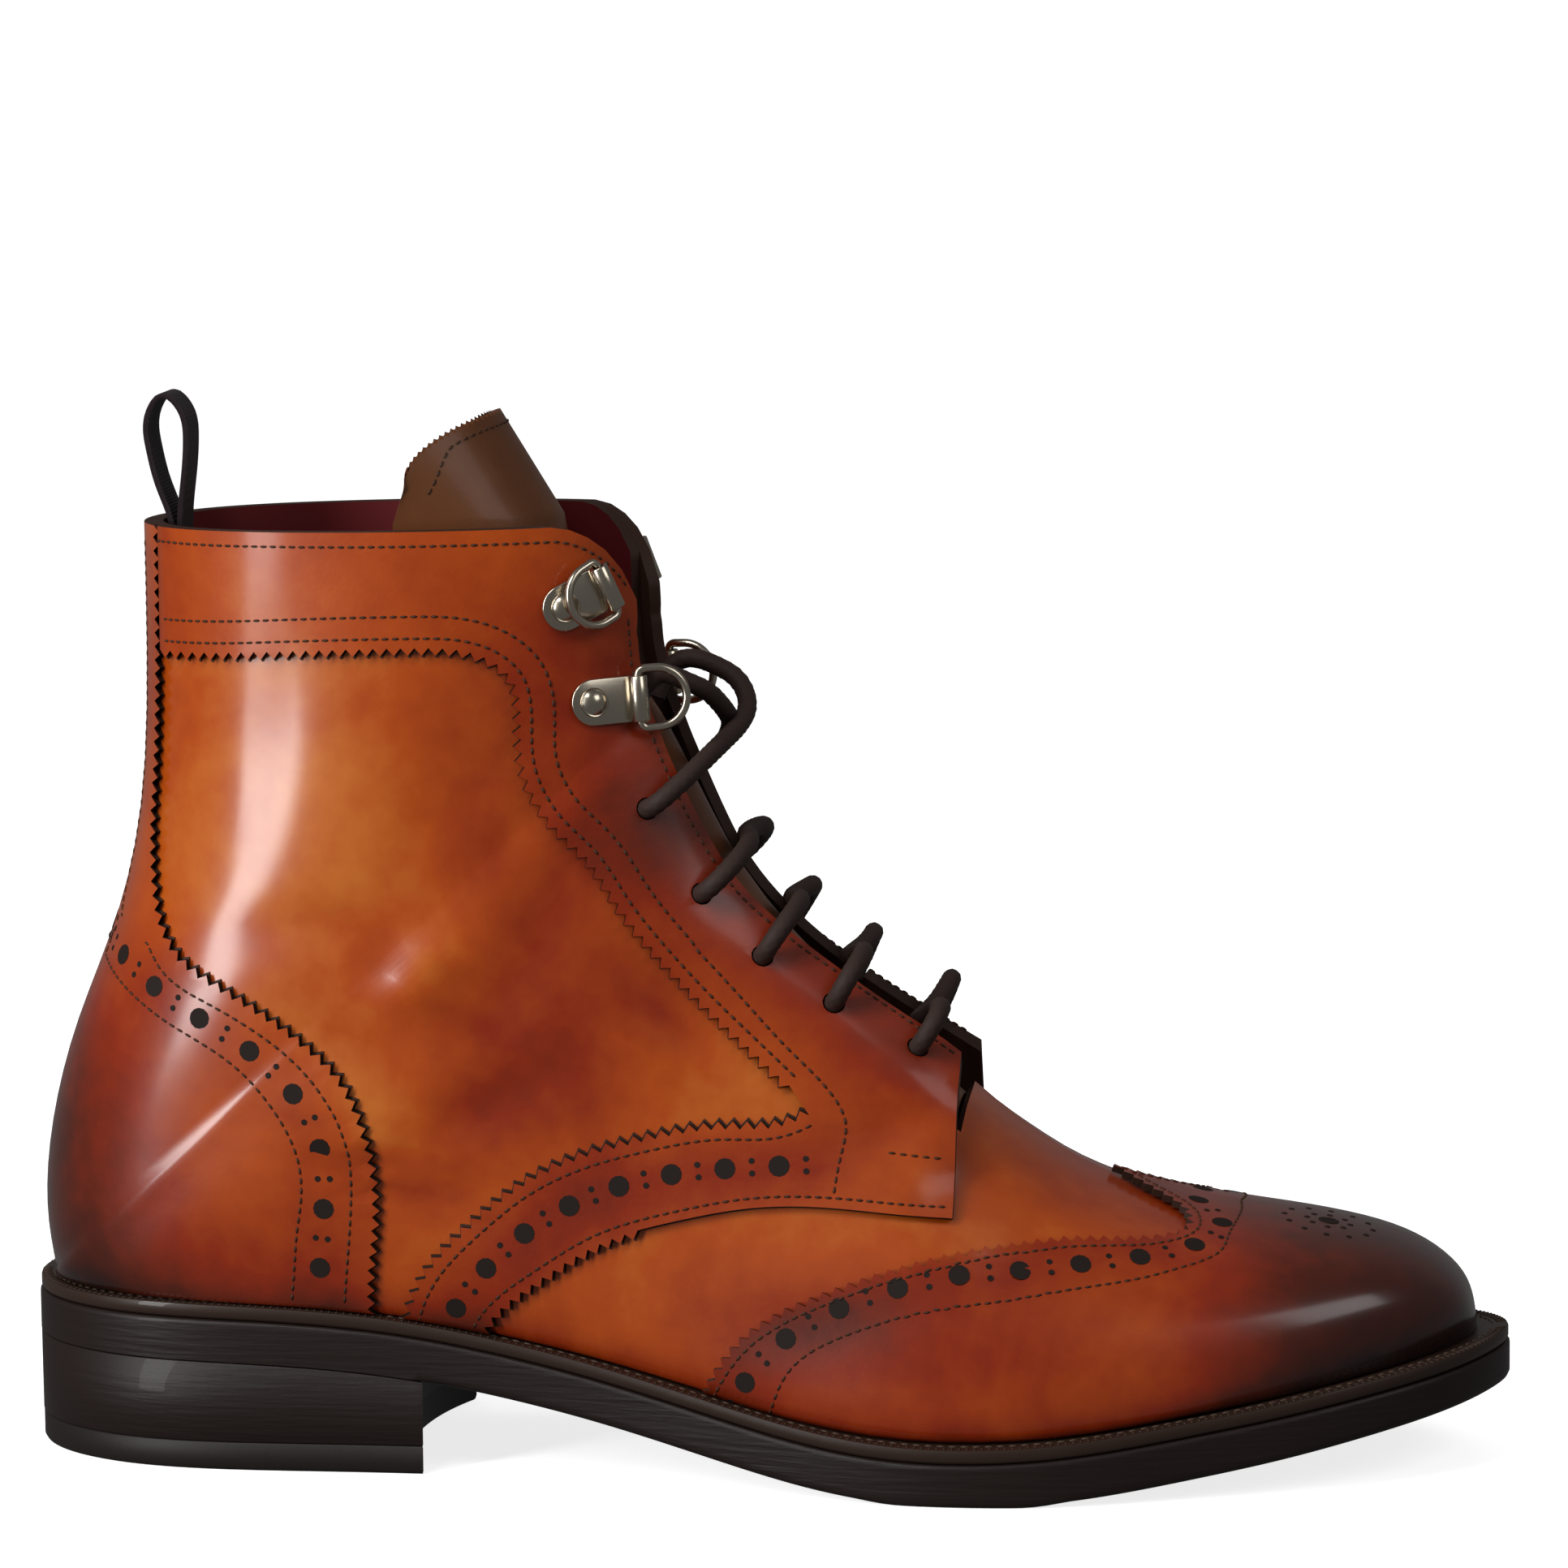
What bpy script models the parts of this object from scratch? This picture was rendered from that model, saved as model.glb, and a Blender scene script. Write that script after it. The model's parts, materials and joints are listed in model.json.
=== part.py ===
"""A man's right ankle boot: wing-tip cap, outside counter, open lacing over a
tongue, leather sole and stacked heel.

The tables and sizes are in millimetres, the meshes in metres. +X points to the
toe, +Y to the inner (medial) side and +Z up. The origin is on the floor under
the heel. Each section of the upper runs from the ridge down to the seat, and a
turn of 0 to 180 degrees leads round it, on the lateral or the medial side.
"""

import bmesh
import bpy
import numpy as np
from mathutils import Matrix, Vector

MM = 0.001
LATERAL, MEDIAL = -1, 1
SIDE_NAMES = {LATERAL: "lateral", MEDIAL: "medial"}

# Driving dimensions
GAP = 0.3                 # air between pieces that touch on the real boot
WALL = 2.2                # upper leather with its lining
OVERLAY = 1.4             # leather of the cap, counter and facings
WELT_THICK = 3.0
INSOLE_THICK = 3.6
INSOLE_INSET = 3.5        # from the feather line to the insole's edge
TOP_LIFT = 6.0
LEVEL_HEIGHT = 3.5        # above the welt, where walls are no longer offset level
HEEL_BREAST = 49.0        # x of the heel's front corners
BREAST_HOLLOW = 8.0
THROAT_ROW = 9.0          # section where the throat opens
COLLAR_ROW = 24.0
UPPER_GAP_HALF = 17.5     # half the throat's width in the upper's wall
VAMP_GAP_HALF = 23.0      # the same at the foot of the throat
FACING_GAP_HALF = 15.0
FACING_LIFT = 7.0         # how far the facings stand off at their front corner
EYELET_RADIUS = 2.3
LACE_RADIUS = 2.0
WIRE_RADIUS = 0.85        # wire of the D-rings
TUBE_SIDES = 6

SKIN_COLUMNS = 8          # mesh columns from the throat edge to the seat


def read_table(text):
    """Columns of a text table by their names in its first line."""
    lines = [line.split() for line in text.strip().splitlines()]
    values = np.array(lines[1:], dtype=float)
    return {name: values[:, i] for i, name in enumerate(lines[0])}


def natural_spline(knots, values):
    """A curve through the values whose slope and bend never jump."""
    knots = np.asarray(knots, dtype=float)
    values = np.asarray(values, dtype=float)
    count = len(knots)
    step = np.diff(knots)
    matrix = np.eye(count)
    right = np.zeros(count)
    for i in range(1, count - 1):
        matrix[i, i - 1:i + 2] = step[i - 1], 2 * (step[i - 1] + step[i]), step[i]
        right[i] = 6 * ((values[i + 1] - values[i]) / step[i]
                        - (values[i] - values[i - 1]) / step[i - 1])
    bend = np.linalg.solve(matrix, right)

    def curve(where):
        where = np.asarray(where, dtype=float)
        i = np.clip(np.searchsorted(knots, where) - 1, 0, count - 2)
        h = step[i]
        a = (knots[i + 1] - where) / h
        b = 1 - a
        return (a * values[i] + b * values[i + 1]
                + ((a ** 3 - a) * bend[i] + (b ** 3 - b) * bend[i + 1]) * h * h / 6)

    return curve


def smooth_step(value, low, high):
    """0 below low, 1 above high and a soft rise between."""
    share = np.clip((np.asarray(value, dtype=float) - low) / (high - low), 0, 1)
    return share * share * (3 - 2 * share)


# Foot of the upper on the welt, seen from above: y of each side at an x
FEATHER = read_table("""
    x   lateral  medial
 258.3     5.0     5.0
 256.0    -3.6    13.0
 252.0   -10.6    19.4
 245.0   -18.2    25.8
 235.0   -25.4    32.4
 222.0   -31.8    38.2
 205.0   -37.4    42.2
 188.0   -42.8    45.2
 170.0   -46.2    45.4
 152.0   -46.6    42.4
 135.0   -44.0    37.4
 115.0   -39.4    32.0
  95.0   -35.4    28.6
  75.0   -32.8    27.6
  55.0   -31.6    28.6
  30.0   -31.6    30.6
   5.0   -31.0    31.0
 -12.0   -26.8    27.2
 -22.0   -20.6    21.2
 -29.0   -12.0    12.4
 -32.0     0.0     0.0
""")
TOE_X, HEEL_X = FEATHER["x"][0], FEATHER["x"][-1]

# Side view of the sole: height of the welt's top and thickness below it
SOLE_SIDE = read_table("""
    x    top   thick
 -40.0  34.8   11.8
 -10.0  34.5   11.8
  24.0  33.5   11.8
  48.0  31.1   11.8
  64.0  28.4   11.8
  84.0  24.3   11.8
 106.0  19.0   11.8
 128.0  14.2   11.8
 146.0  12.1   11.8
 160.0  11.8   11.8
 176.0  12.5   11.8
 196.0  14.9   11.8
 218.0  18.3   11.6
 240.0  22.2   11.2
 258.0  25.2   10.8
 270.0  27.2   10.5
""")
FLAT_FROM, FLAT_TO = 150.0, 170.0   # where the forefoot rests on the floor

# Sections of the last from the toe tip to the collar. seat_z 0 means that the
# section ends on the welt; the others close at the back of the heel and shaft.
# w30 to w150 are the share of the half width reached at that turn.
SECTIONS = read_table("""
 top_x  top_z  seat_x seat_z ridge_y lateral medial  w30   w60   w90  w120  w150
 258.3   25.5   258.3    0     5.0     0.0    0.0   0.55  0.87  0.98  1.00  1.00
 257.5   31.2   256.2    0     5.0     8.4    7.8   0.55  0.87  0.98  1.00  1.00
 255.0   36.2   251.6    0     5.2    16.6   14.9   0.54  0.86  0.98  1.00  1.00
 248.5   41.2   244.4    0     5.5    24.8   21.3   0.52  0.85  0.97  1.00  1.00
 238.0   45.0   233.5    0     5.9    33.2   28.2   0.49  0.81  0.96  1.00  1.00
 222.0   47.9   218.5    0     6.0    40.6   34.6   0.46  0.77  0.94  1.00  1.00
 203.0   50.9   200.5    0     5.8    47.4   39.4   0.43  0.72  0.91  0.99  1.00
 186.0   56.5   183.5    0     5.2    51.2   42.4   0.40  0.68  0.89  0.99  1.00
 171.0   64.8   167.0    0     4.4    52.8   43.4   0.38  0.65  0.87  0.98  1.00
 157.5   75.4   150.0    0     3.5    51.9   41.7   0.37  0.64  0.86  0.97  1.00
 146.0   85.8   134.0    0     2.6    48.4   38.0   0.38  0.66  0.86  0.97  1.00
 134.0   97.4   114.0    0     1.8    43.2   33.8   0.41  0.70  0.88  0.98  1.00
 122.5  109.6    90.0    0     1.2    38.6   31.2   0.45  0.75  0.92  1.00  1.00
 113.5  121.4    60.0    0     0.7    36.3   31.7   0.48  0.79  0.95  1.01  0.98
 107.5  132.6    28.0    0     0.3    36.1   33.9   0.50  0.82  0.97  1.00  0.95
 103.5  142.2     2.0    0     0.1    35.9   35.1   0.52  0.85  0.99  0.99  0.91
 100.8  150.0   -16.0    0     0.0    35.6   35.2   0.53  0.87  1.00  0.96  0.85
  99.0  155.6   -27.0    0     0.0    35.2   35.0   0.54  0.88  1.00  0.93  0.76
  97.8  159.6   -32.0   35.3   0.0    34.9   34.7   0.54  0.88  1.00  0.91  0.67
  96.7  163.8   -33.9   48.5   0.0    34.5   34.4   0.55  0.89  1.00  0.90  0.61
  95.7  168.4   -32.4   66.0   0.0    34.1   34.0   0.55  0.89  1.00  0.89  0.57
  94.8  173.4   -26.6   87.0   0.0    33.7   33.6   0.56  0.90  1.00  0.88  0.55
  93.9  179.2   -17.6  110.0   0.0    33.4   33.3   0.56  0.90  1.00  0.88  0.54
  93.0  185.6   -11.2  142.0   0.0    33.2   33.1   0.57  0.90  1.00  0.88  0.54
  92.0  192.6   -10.2  191.2   0.0    33.0   33.0   0.58  0.91  1.00  0.88  0.54
""")
ROWS = np.arange(len(SECTIONS["top_x"]))
HEEL_ROW = int(np.argmax(SECTIONS["seat_z"] > 0))
TURN_KNOTS = np.arange(0, 181, 30)


# The last's own functions

def around(x):
    """Evenly rounded measure of x: 0 at the toe tip, 1 at the heel's back."""
    share = 2 * (np.asarray(x, dtype=float) - HEEL_X) / (TOE_X - HEEL_X) - 1
    return np.arccos(np.clip(share, -1, 1)) / np.pi


def x_around(share):
    """The x that lies at a share of the way round from toe to heel."""
    return HEEL_X + (TOE_X - HEEL_X) * (1 + np.cos(np.pi * np.clip(share, 0, 1))) / 2


feather_curve = {
    LATERAL: natural_spline(around(FEATHER["x"]), FEATHER["lateral"]),
    MEDIAL: natural_spline(around(FEATHER["x"]), FEATHER["medial"]),
}
welt_curve = natural_spline(SOLE_SIDE["x"], SOLE_SIDE["top"])
thick_curve = natural_spline(SOLE_SIDE["x"], SOLE_SIDE["thick"])
SECTIONS["top_z"][0] = welt_curve(TOE_X) + GAP      # the toe tip lies on the welt
section = {name: natural_spline(ROWS, values) for name, values in SECTIONS.items()}
seat_share = natural_spline(ROWS[:HEEL_ROW + 1], around(SECTIONS["seat_x"][:HEEL_ROW + 1]))
seat_x_back = natural_spline(ROWS[HEEL_ROW:], SECTIONS["seat_x"][HEEL_ROW:])
seat_z_back = natural_spline(ROWS[HEEL_ROW:], SECTIONS["seat_z"][HEEL_ROW:])
turn_share = [natural_spline(TURN_KNOTS, unit) for unit in np.eye(len(TURN_KNOTS))]


def welt_top(x):
    """Height of the welt's upper face."""
    return welt_curve(x)


def sole_bottom(x):
    """Height of the outsole's lower face, flat on the floor at the ball."""
    height = np.maximum(welt_curve(x) - thick_curve(x), 0)
    return height * (1 - smooth_step(x, FLAT_FROM - 12, FLAT_FROM)
                     * (1 - smooth_step(x, FLAT_TO, FLAT_TO + 12)))


def seat(row):
    """Lower end of a section in the side view."""
    front_x = x_around(seat_share(np.minimum(row, HEEL_ROW)))
    on_welt = row < HEEL_ROW
    x = np.where(on_welt, front_x, seat_x_back(np.maximum(row, HEEL_ROW)))
    z = np.where(on_welt, welt_top(front_x) + GAP, seat_z_back(np.maximum(row, HEEL_ROW)))
    return x, z


def half_width(row, turn, side):
    """Distance of the skin from the ridge's plane."""
    full = section[SIDE_NAMES[side]](row)
    share = np.clip(seat_share(np.minimum(row, HEEL_ROW)), 0, 1)
    at_seat = side * (feather_curve[side](share) - section["ridge_y"](row))
    width = turn_share[-1](turn) * np.where(row < HEEL_ROW, at_seat, 0)
    for part_of, name in zip(turn_share[1:-1], ("w30", "w60", "w90", "w120", "w150")):
        width = width + part_of(turn) * section[name](row) * full
    return np.maximum(width, 0)


def skin(row, turn, side):
    """Points on the outside of the upper."""
    row, turn = np.broadcast_arrays(np.asarray(row, float), np.asarray(turn, float))
    top_x, top_z = section["top_x"](row), section["top_z"](row)
    seat_x, seat_z = seat(row)
    down = (1 - np.cos(np.radians(turn))) / 2
    y = section["ridge_y"](row) + side * half_width(row, turn, side)
    return np.stack([top_x + (seat_x - top_x) * down, y, top_z + (seat_z - top_z) * down], -1)


def turn_at_width(row, width, side):
    """Turn, near the ridge, at which a section has reached a half width."""
    turns = np.linspace(0, 80, 161)
    widths = half_width(np.full_like(turns, row), turns, side)
    return float(np.interp(width, widths, turns))


def skin_normal(row, turn, side, surface=skin):
    """Outward unit normals of the upper, or of another function of row and turn."""
    ahead = surface(row + 0.02, turn, side) - surface(row - 0.02, turn, side)
    down = surface(row, turn + 0.5, side) - surface(row, turn - 0.5, side)
    normal = -side * np.cross(ahead, down)
    return normal / np.linalg.norm(normal, axis=-1, keepdims=True)


# The leather's layers

def upper_gap_half(row):
    """Half the throat in the upper's own wall, wider on the vamp."""
    return VAMP_GAP_HALF + (UPPER_GAP_HALF - VAMP_GAP_HALF) * smooth_step(row, THROAT_ROW, 13)


def facing_lift(row, turn):
    """How far the facings stand off the vamp, most at their front corner."""
    share = (1 - smooth_step(turn, 24, 62)) * (1 - smooth_step(row, 9.6, 13.6))
    return FACING_LIFT * share


# Turns between which the collar's front corner is rounded, and by how many rows
CORNER_TURN, CORNER_EDGE_TURN, CORNER_ROWS = 48.0, 24.0, 2.0


def collar_drop(row, turn):
    """Rows by which the collar's front corners are rounded off."""
    reach = np.clip((CORNER_TURN - turn) / (CORNER_TURN - CORNER_EDGE_TURN), 0, 1)
    return CORNER_ROWS * (1 - np.sqrt(1 - reach ** 2)) * smooth_step(row, 20, COLLAR_ROW)


def skin_columns(row, side):
    """Turns of the mesh columns: ridge, facing edge, upper edge, then the rest."""
    at = max(row, THROAT_ROW)
    facing_edge = turn_at_width(at, FACING_GAP_HALF, side)
    upper_edge = turn_at_width(at, upper_gap_half(at), side)
    rest = np.linspace(upper_edge, 180, SKIN_COLUMNS + 1)
    return np.concatenate([[0.0, facing_edge], rest])


def add_sheet(mesh, grid, flip, starts=None):
    """Triangles over a grid of points; returns the grid's vertices. All sheets
    split their quads the same way, so that two layers lie parallel. starts is
    the first column that each strip of the grid fills."""
    verts = [[mesh.verts.new(point) for point in line] for line in grid]
    for i in range(len(verts) - 1):
        for j in range(starts[i] if starts else 0, len(verts[0]) - 1):
            a, b = verts[i][j], verts[i + 1][j]
            c, d = verts[i + 1][j + 1], verts[i][j + 1]
            for corner in ((a, b, c), (a, c, d)):
                mesh.faces.new(corner[::-1] if flip else corner)
    return verts


def skin_sheet(rows, first_column, sides=(LATERAL, MEDIAL)):
    """Sheet on the outside of the upper, from a mesh column down. Each vertex
    keeps its row and its turn."""
    mesh = bmesh.new()
    row_layer = mesh.verts.layers.float.new("row")
    turn_layer = mesh.verts.layers.float.new("turn")
    for side in sides:
        columns = [skin_columns(row, side) for row in rows]
        joined = len(sides) == 2
        starts = [0 if joined and row < THROAT_ROW else first_column for row in rows]
        levels = [row - collar_drop(row, turns) for row, turns in zip(rows, columns)]
        grid = [skin(level, turns, side) for level, turns in zip(levels, columns)]
        verts = add_sheet(mesh, grid, side == MEDIAL, starts)
        for line, level, turns in zip(verts, levels, columns):
            for vert, row, turn in zip(line, level, turns):
                vert[row_layer] = row
                vert[turn_layer] = turn
    close_sheet(mesh)
    return mesh


def close_sheet(mesh):
    """Merge the points that fall together and drop the faces that vanish."""
    bmesh.ops.remove_doubles(mesh, verts=mesh.verts, dist=0.002)
    bmesh.ops.dissolve_degenerate(mesh, edges=mesh.edges, dist=0.002)
    loose = [vert for vert in mesh.verts if not vert.link_faces]
    bmesh.ops.delete(mesh, geom=loose, context='VERTS')
    mesh.verts.index_update()
    mesh.normal_update()


def thicken(mesh, low, high):
    """Closed wall between two offsets of a sheet, each a number or a function
    of row and turn. Near the welt the wall is offset level."""
    row_layer = mesh.verts.layers.float.get("row")
    turn_layer = mesh.verts.layers.float.get("turn")
    offsets = []
    for vert in mesh.verts:
        normal = vert.normal.copy()
        height = vert.co.z - welt_top(vert.co.x)
        normal.z *= float(smooth_step(height, 2 * GAP, LEVEL_HEIGHT))
        normal.normalize()
        place = (vert[row_layer], vert[turn_layer]) if row_layer else ()
        low_here = float(low(*place)) if callable(low) else low
        high_here = float(high(*place)) if callable(high) else high
        offsets.append((vert.co + normal * low_here, vert.co + normal * high_here))
    wall = bmesh.new()
    inner = [wall.verts.new(pair[0]) for pair in offsets]
    outer = [wall.verts.new(pair[1]) for pair in offsets]
    mesh.verts.index_update()
    for face in mesh.faces:
        ring = [vert.index for vert in face.verts]
        wall.faces.new([outer[i] for i in ring])
        wall.faces.new([inner[i] for i in reversed(ring)])
    for edge in mesh.edges:
        if edge.is_boundary:
            loop = edge.link_loops[0]
            a, b = loop.vert.index, loop.link_loop_next.vert.index
            wall.faces.new([outer[b], outer[a], inner[a], inner[b]])
    mesh.free()
    return wall


# Objects and materials

def clear_scene():
    for thing in list(bpy.data.objects):
        bpy.data.objects.remove(thing, do_unlink=True)


def finish_material(name, colour, roughness, metallic=0.0):
    material = bpy.data.materials.new(name)
    material.use_nodes = True
    shader = material.node_tree.nodes["Principled BSDF"]
    shader.inputs["Base Color"].default_value = (*colour, 1.0)
    shader.inputs["Roughness"].default_value = roughness
    shader.inputs["Metallic"].default_value = metallic
    return material


def new_object(name, mesh, material, smooth_angle=0.7):
    """An object in metres from a mesh in millimetres."""
    bmesh.ops.scale(mesh, vec=(MM, MM, MM), verts=mesh.verts)
    data = bpy.data.meshes.new(name)
    mesh.to_mesh(data)
    mesh.free()
    data.materials.append(material)
    data.shade_smooth()
    data.set_sharp_from_angle(angle=smooth_angle)
    thing = bpy.data.objects.new(name, data)
    bpy.context.collection.objects.link(thing)
    return thing


def cut(thing, cutter, operation):
    """Boolean with a hidden cutter."""
    cutter.hide_render = True
    cutter.display_type = 'WIRE'
    modifier = thing.modifiers.new(cutter.name, 'BOOLEAN')
    modifier.operation = operation
    modifier.object = cutter


def prism(name, outline, low_y, high_y):
    """Solid through the boot from an outline in the side view."""
    mesh = bmesh.new()
    near = [mesh.verts.new((x, low_y, z)) for x, z in outline]
    far = [mesh.verts.new((x, high_y, z)) for x, z in outline]
    count = len(outline)
    mesh.faces.new(near)
    mesh.faces.new(far[::-1])
    for i in range(count):
        k = (i + 1) % count
        mesh.faces.new([near[k], near[i], far[i], far[k]])
    bmesh.ops.recalc_face_normals(mesh, faces=mesh.faces)
    return new_object(name, mesh, leather)


def smooth_line(table, count):
    """Points of a smooth line through a table's x and z."""
    xs, zs = table["x"], table["z"]
    length = np.concatenate([[0], np.cumsum(np.hypot(np.diff(xs), np.diff(zs)))])
    where = np.linspace(0, length[-1], count)
    return list(zip(natural_spline(length, xs)(where), natural_spline(length, zs)(where)))


# The upper and what is laid on it

# Mesh rows lie half a section apart where the seat line bends
ALL_ROWS = np.concatenate([np.arange(0, 4, 0.5), np.arange(4, 10), np.arange(10, 16, 0.5),
                           np.arange(16, COLLAR_ROW + 1)])

# Eyelet holes of each facing, foot of the throat first, then the two rivets of
# the ring clips with the lean of each clip towards the collar
EYELETS = read_table("""
   row  turn
 10.10  32.0
 11.25  36.0
 12.28  38.0
 13.45  37.0
 15.25  34.8
""")
CLIPS = read_table("""
   row  turn  lean
 19.80  37.5   2.0
 22.75  45.2  25.0
""")


FACING_EXTRA = 0.9        # lining that thickens the facings along the throat


def facing_underside(row, turn):
    """Height of a facing's inner face above the upper."""
    return GAP + facing_lift(row, turn)


def facing_top(row, turn):
    """Height of a facing's outer face above the upper."""
    return facing_underside(row, turn) + OVERLAY + FACING_EXTRA * facing_share(row, turn)


def facing_share(row, turn):
    """1 along the throat, where a facing is lined, 0 in its strap and strip."""
    return 1 - smooth_step(turn, 40, 64)


def build_upper():
    mesh = thicken(skin_sheet(ALL_ROWS, 2), -WALL, 0)
    return new_object("upper", mesh, leather)


# Back edge of the wing cap: section row reached at each turn from the ridge
WING_EDGE = read_table("""
  turn    row
   0.0   7.10
   6.0   6.75
  14.0   6.30
  24.0   6.08
  33.0   6.10
  45.0   6.60
  53.0   7.20
  63.0   7.83
  73.5   8.43
  84.0   9.05
  95.0   9.73
 106.0  10.30
 118.0  10.78
 130.0  11.08
 145.0  11.25
 162.0  11.32
 180.0  11.32
""")
WING_STEPS = 9


def build_wing_cap():
    """The upper's outer layer, cut by a block over the toe up to the wing edge."""
    rows = ALL_ROWS[ALL_ROWS < 12.1]
    shell = thicken(skin_sheet(rows, 0), GAP, GAP + OVERLAY)
    cap = new_object("wing_cap", shell, leather)
    edge = natural_spline(WING_EDGE["turn"], WING_EDGE["row"])
    turns = np.concatenate([np.arange(0, 36, 6.0), np.arange(36, 181, 12.0)])
    mesh = bmesh.new()
    for side in (LATERAL, MEDIAL):
        grid = [skin(edge(turns) * step / WING_STEPS, turns, side)
                for step in range(WING_STEPS + 1)]
        skirted = [np.vstack([line, line[-1] - (0, 0, 8)]) for line in grid]
        add_sheet(mesh, skirted, side == MEDIAL)
    close_sheet(mesh)
    block = new_object("wing_block", thicken(mesh, -1.2, 5.0), leather)
    cut(cap, block, 'INTERSECT')
    return cap


COUNTER_EDGE = read_table("""
    x      z
  37.5   20.0
  37.5   33.0
  38.2   43.4
  39.3   53.0
  38.8   63.0
  37.0   71.6
  32.5   81.0
  25.0   88.0
  16.4   94.0
   6.2   99.6
  -1.3  104.4
  -5.4  110.0
  -8.2  120.0
  -9.0  130.0
  -8.5  142.0
  -7.8  160.0
  -7.4  180.0
  -7.4  200.0
""")


def build_counter():
    rows = ALL_ROWS[ALL_ROWS > 12.4]
    shell = thicken(skin_sheet(rows, 3), GAP, GAP + OVERLAY)
    counter = new_object("heel_counter", shell, leather)
    outline = smooth_line(COUNTER_EDGE, 34) + [(-60.0, 200.0), (-60.0, 20.0)]
    cut(counter, prism("counter_block", outline, -60, 60), 'INTERSECT')
    return counter


# Facing with its collar strap and side strip: its inner edge from the back of
# the collar round the quarter to the welt, and its lower edge back to the front
FACING_INNER = read_table("""
    x      z
  -6.0  166.2
  10.0  167.0
  30.0  168.2
  50.0  168.8
  62.0  167.4
  69.0  162.0
  70.4  155.0
  70.4  148.0
  72.6  139.2
  77.4  132.0
  83.6  125.6
  89.4  116.8
  96.6  107.3
 104.8   98.2
 114.8   88.6
 123.6   80.4
""")
STRIP_UPPER = read_table("""
    x      z
 127.8   74.6
 122.6   72.6
 110.6   72.0
  96.1   69.8
  81.2   65.6
  69.8   59.8
  59.8   51.6
  51.8   43.3
  47.2   35.0
  44.6   22.0
""")
STRIP_LOWER = read_table("""
    x      z
  59.6   20.0
  61.4   30.4
  65.6   35.6
  73.6   41.6
  85.8   49.0
 101.0   53.8
 116.0   56.7
 130.0   57.2
 144.8   56.0
 156.8   54.8
""")


def build_facing(side):
    """Collar strap, throat facing and side strip of one side, in one piece."""
    rows = ALL_ROWS[ALL_ROWS > 7.9]
    shell = thicken(skin_sheet(rows, 1, (side,)), facing_underside, facing_top)
    facing = new_object("facing_" + SIDE_NAMES[side], shell, leather_dark)
    outline = (smooth_line(FACING_INNER, 27) + smooth_line(STRIP_UPPER, 21)
               + smooth_line(STRIP_LOWER, 18) + [(156.8, 215.0), (-6.0, 215.0)])
    name = "facing_block_" + SIDE_NAMES[side]
    cut(facing, prism(name, outline, min(0, 70 * side), max(0, 70 * side)), 'INTERSECT')
    return facing


def facing_point(row, turn, side):
    """Points on the outer face of a facing."""
    return skin(row, turn, side) + skin_normal(row, turn, side) * float(facing_top(row, turn))


def punch_eyelets(thing, side):
    """Holes through facing and upper, in one cutter of joined pins."""
    mesh = bmesh.new()
    for row, turn in zip(EYELETS["row"], EYELETS["turn"]):
        spot = Vector(facing_point(row, turn, side))
        outward = Vector(skin_normal(row, turn, side, facing_point))
        turned = outward.to_track_quat('Z', 'Y').to_matrix().to_4x4()
        bmesh.ops.create_cone(mesh, cap_ends=True, segments=10, radius1=EYELET_RADIUS,
                              radius2=EYELET_RADIUS, depth=30,
                              matrix=Matrix.Translation(spot) @ turned)
    pins = new_object("pins_" + thing.name + "_" + SIDE_NAMES[side], mesh, leather)
    cut(thing, pins, 'DIFFERENCE')


# Tongue: follows the upper's inside, then leans back above the throat

TONGUE_THICK = 2.0
TONGUE_CLEAR = 1.3
TONGUE_LEAN = 14.0        # how far it stands back from the collar's front
TONGUE_TOP_TURN = 70.0    # turn of its side edges at the collar
TONGUE_ROWS = np.concatenate([np.arange(9.0, 24.1, 1.0), 24 + np.array([0.25, 0.5, 0.75, 1.0])])
TONGUE_COLUMNS = 9


# Reach of its free top beyond the collar, from the ridge, 0, to a side edge, 1
TONGUE_TOP = read_table("""
 share     x     z
   0.0 -13.0  21.5
   0.5 -12.0  18.1
   0.8  -6.6  12.9
   1.0   2.6   8.0
""")
tongue_top_x, tongue_top_z = (natural_spline(TONGUE_TOP["share"], TONGUE_TOP[name]) for name in "xz")


def tongue_point(row, turn, side, depth):
    """A point of the tongue at a depth under the upper's outside; rows past the
    collar are shares of its free top."""
    held = min(row, COLLAR_ROW)
    rise = float(smooth_step(held, 13.5, COLLAR_ROW))
    point = skin(held, turn, side) - depth * skin_normal(held, turn, side)
    point[0] -= TONGUE_LEAN * rise
    point[1] *= 1 - 0.14 * rise
    share = turn / TONGUE_TOP_TURN
    reach = np.array([float(tongue_top_x(share)), 0.0, float(tongue_top_z(share))])
    return point + reach * max(row - COLLAR_ROW, 0)


def build_tongue():
    mesh = bmesh.new()
    rings = []
    for row in TONGUE_ROWS:
        half = 46 + (TONGUE_TOP_TURN - 46) * float(smooth_step(row, 12, 21))
        turns = np.linspace(-half, half, TONGUE_COLUMNS)
        deep = WALL + TONGUE_CLEAR
        outer = [tongue_point(row, abs(t), MEDIAL if t > 0 else LATERAL, deep) for t in turns]
        inner = [tongue_point(row, abs(t), MEDIAL if t > 0 else LATERAL,
                              deep + TONGUE_THICK) for t in turns]
        rings.append([mesh.verts.new(p) for p in outer + inner[::-1]])
    bridge(mesh, rings)
    return new_object("tongue", mesh, tongue_leather)


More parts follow.
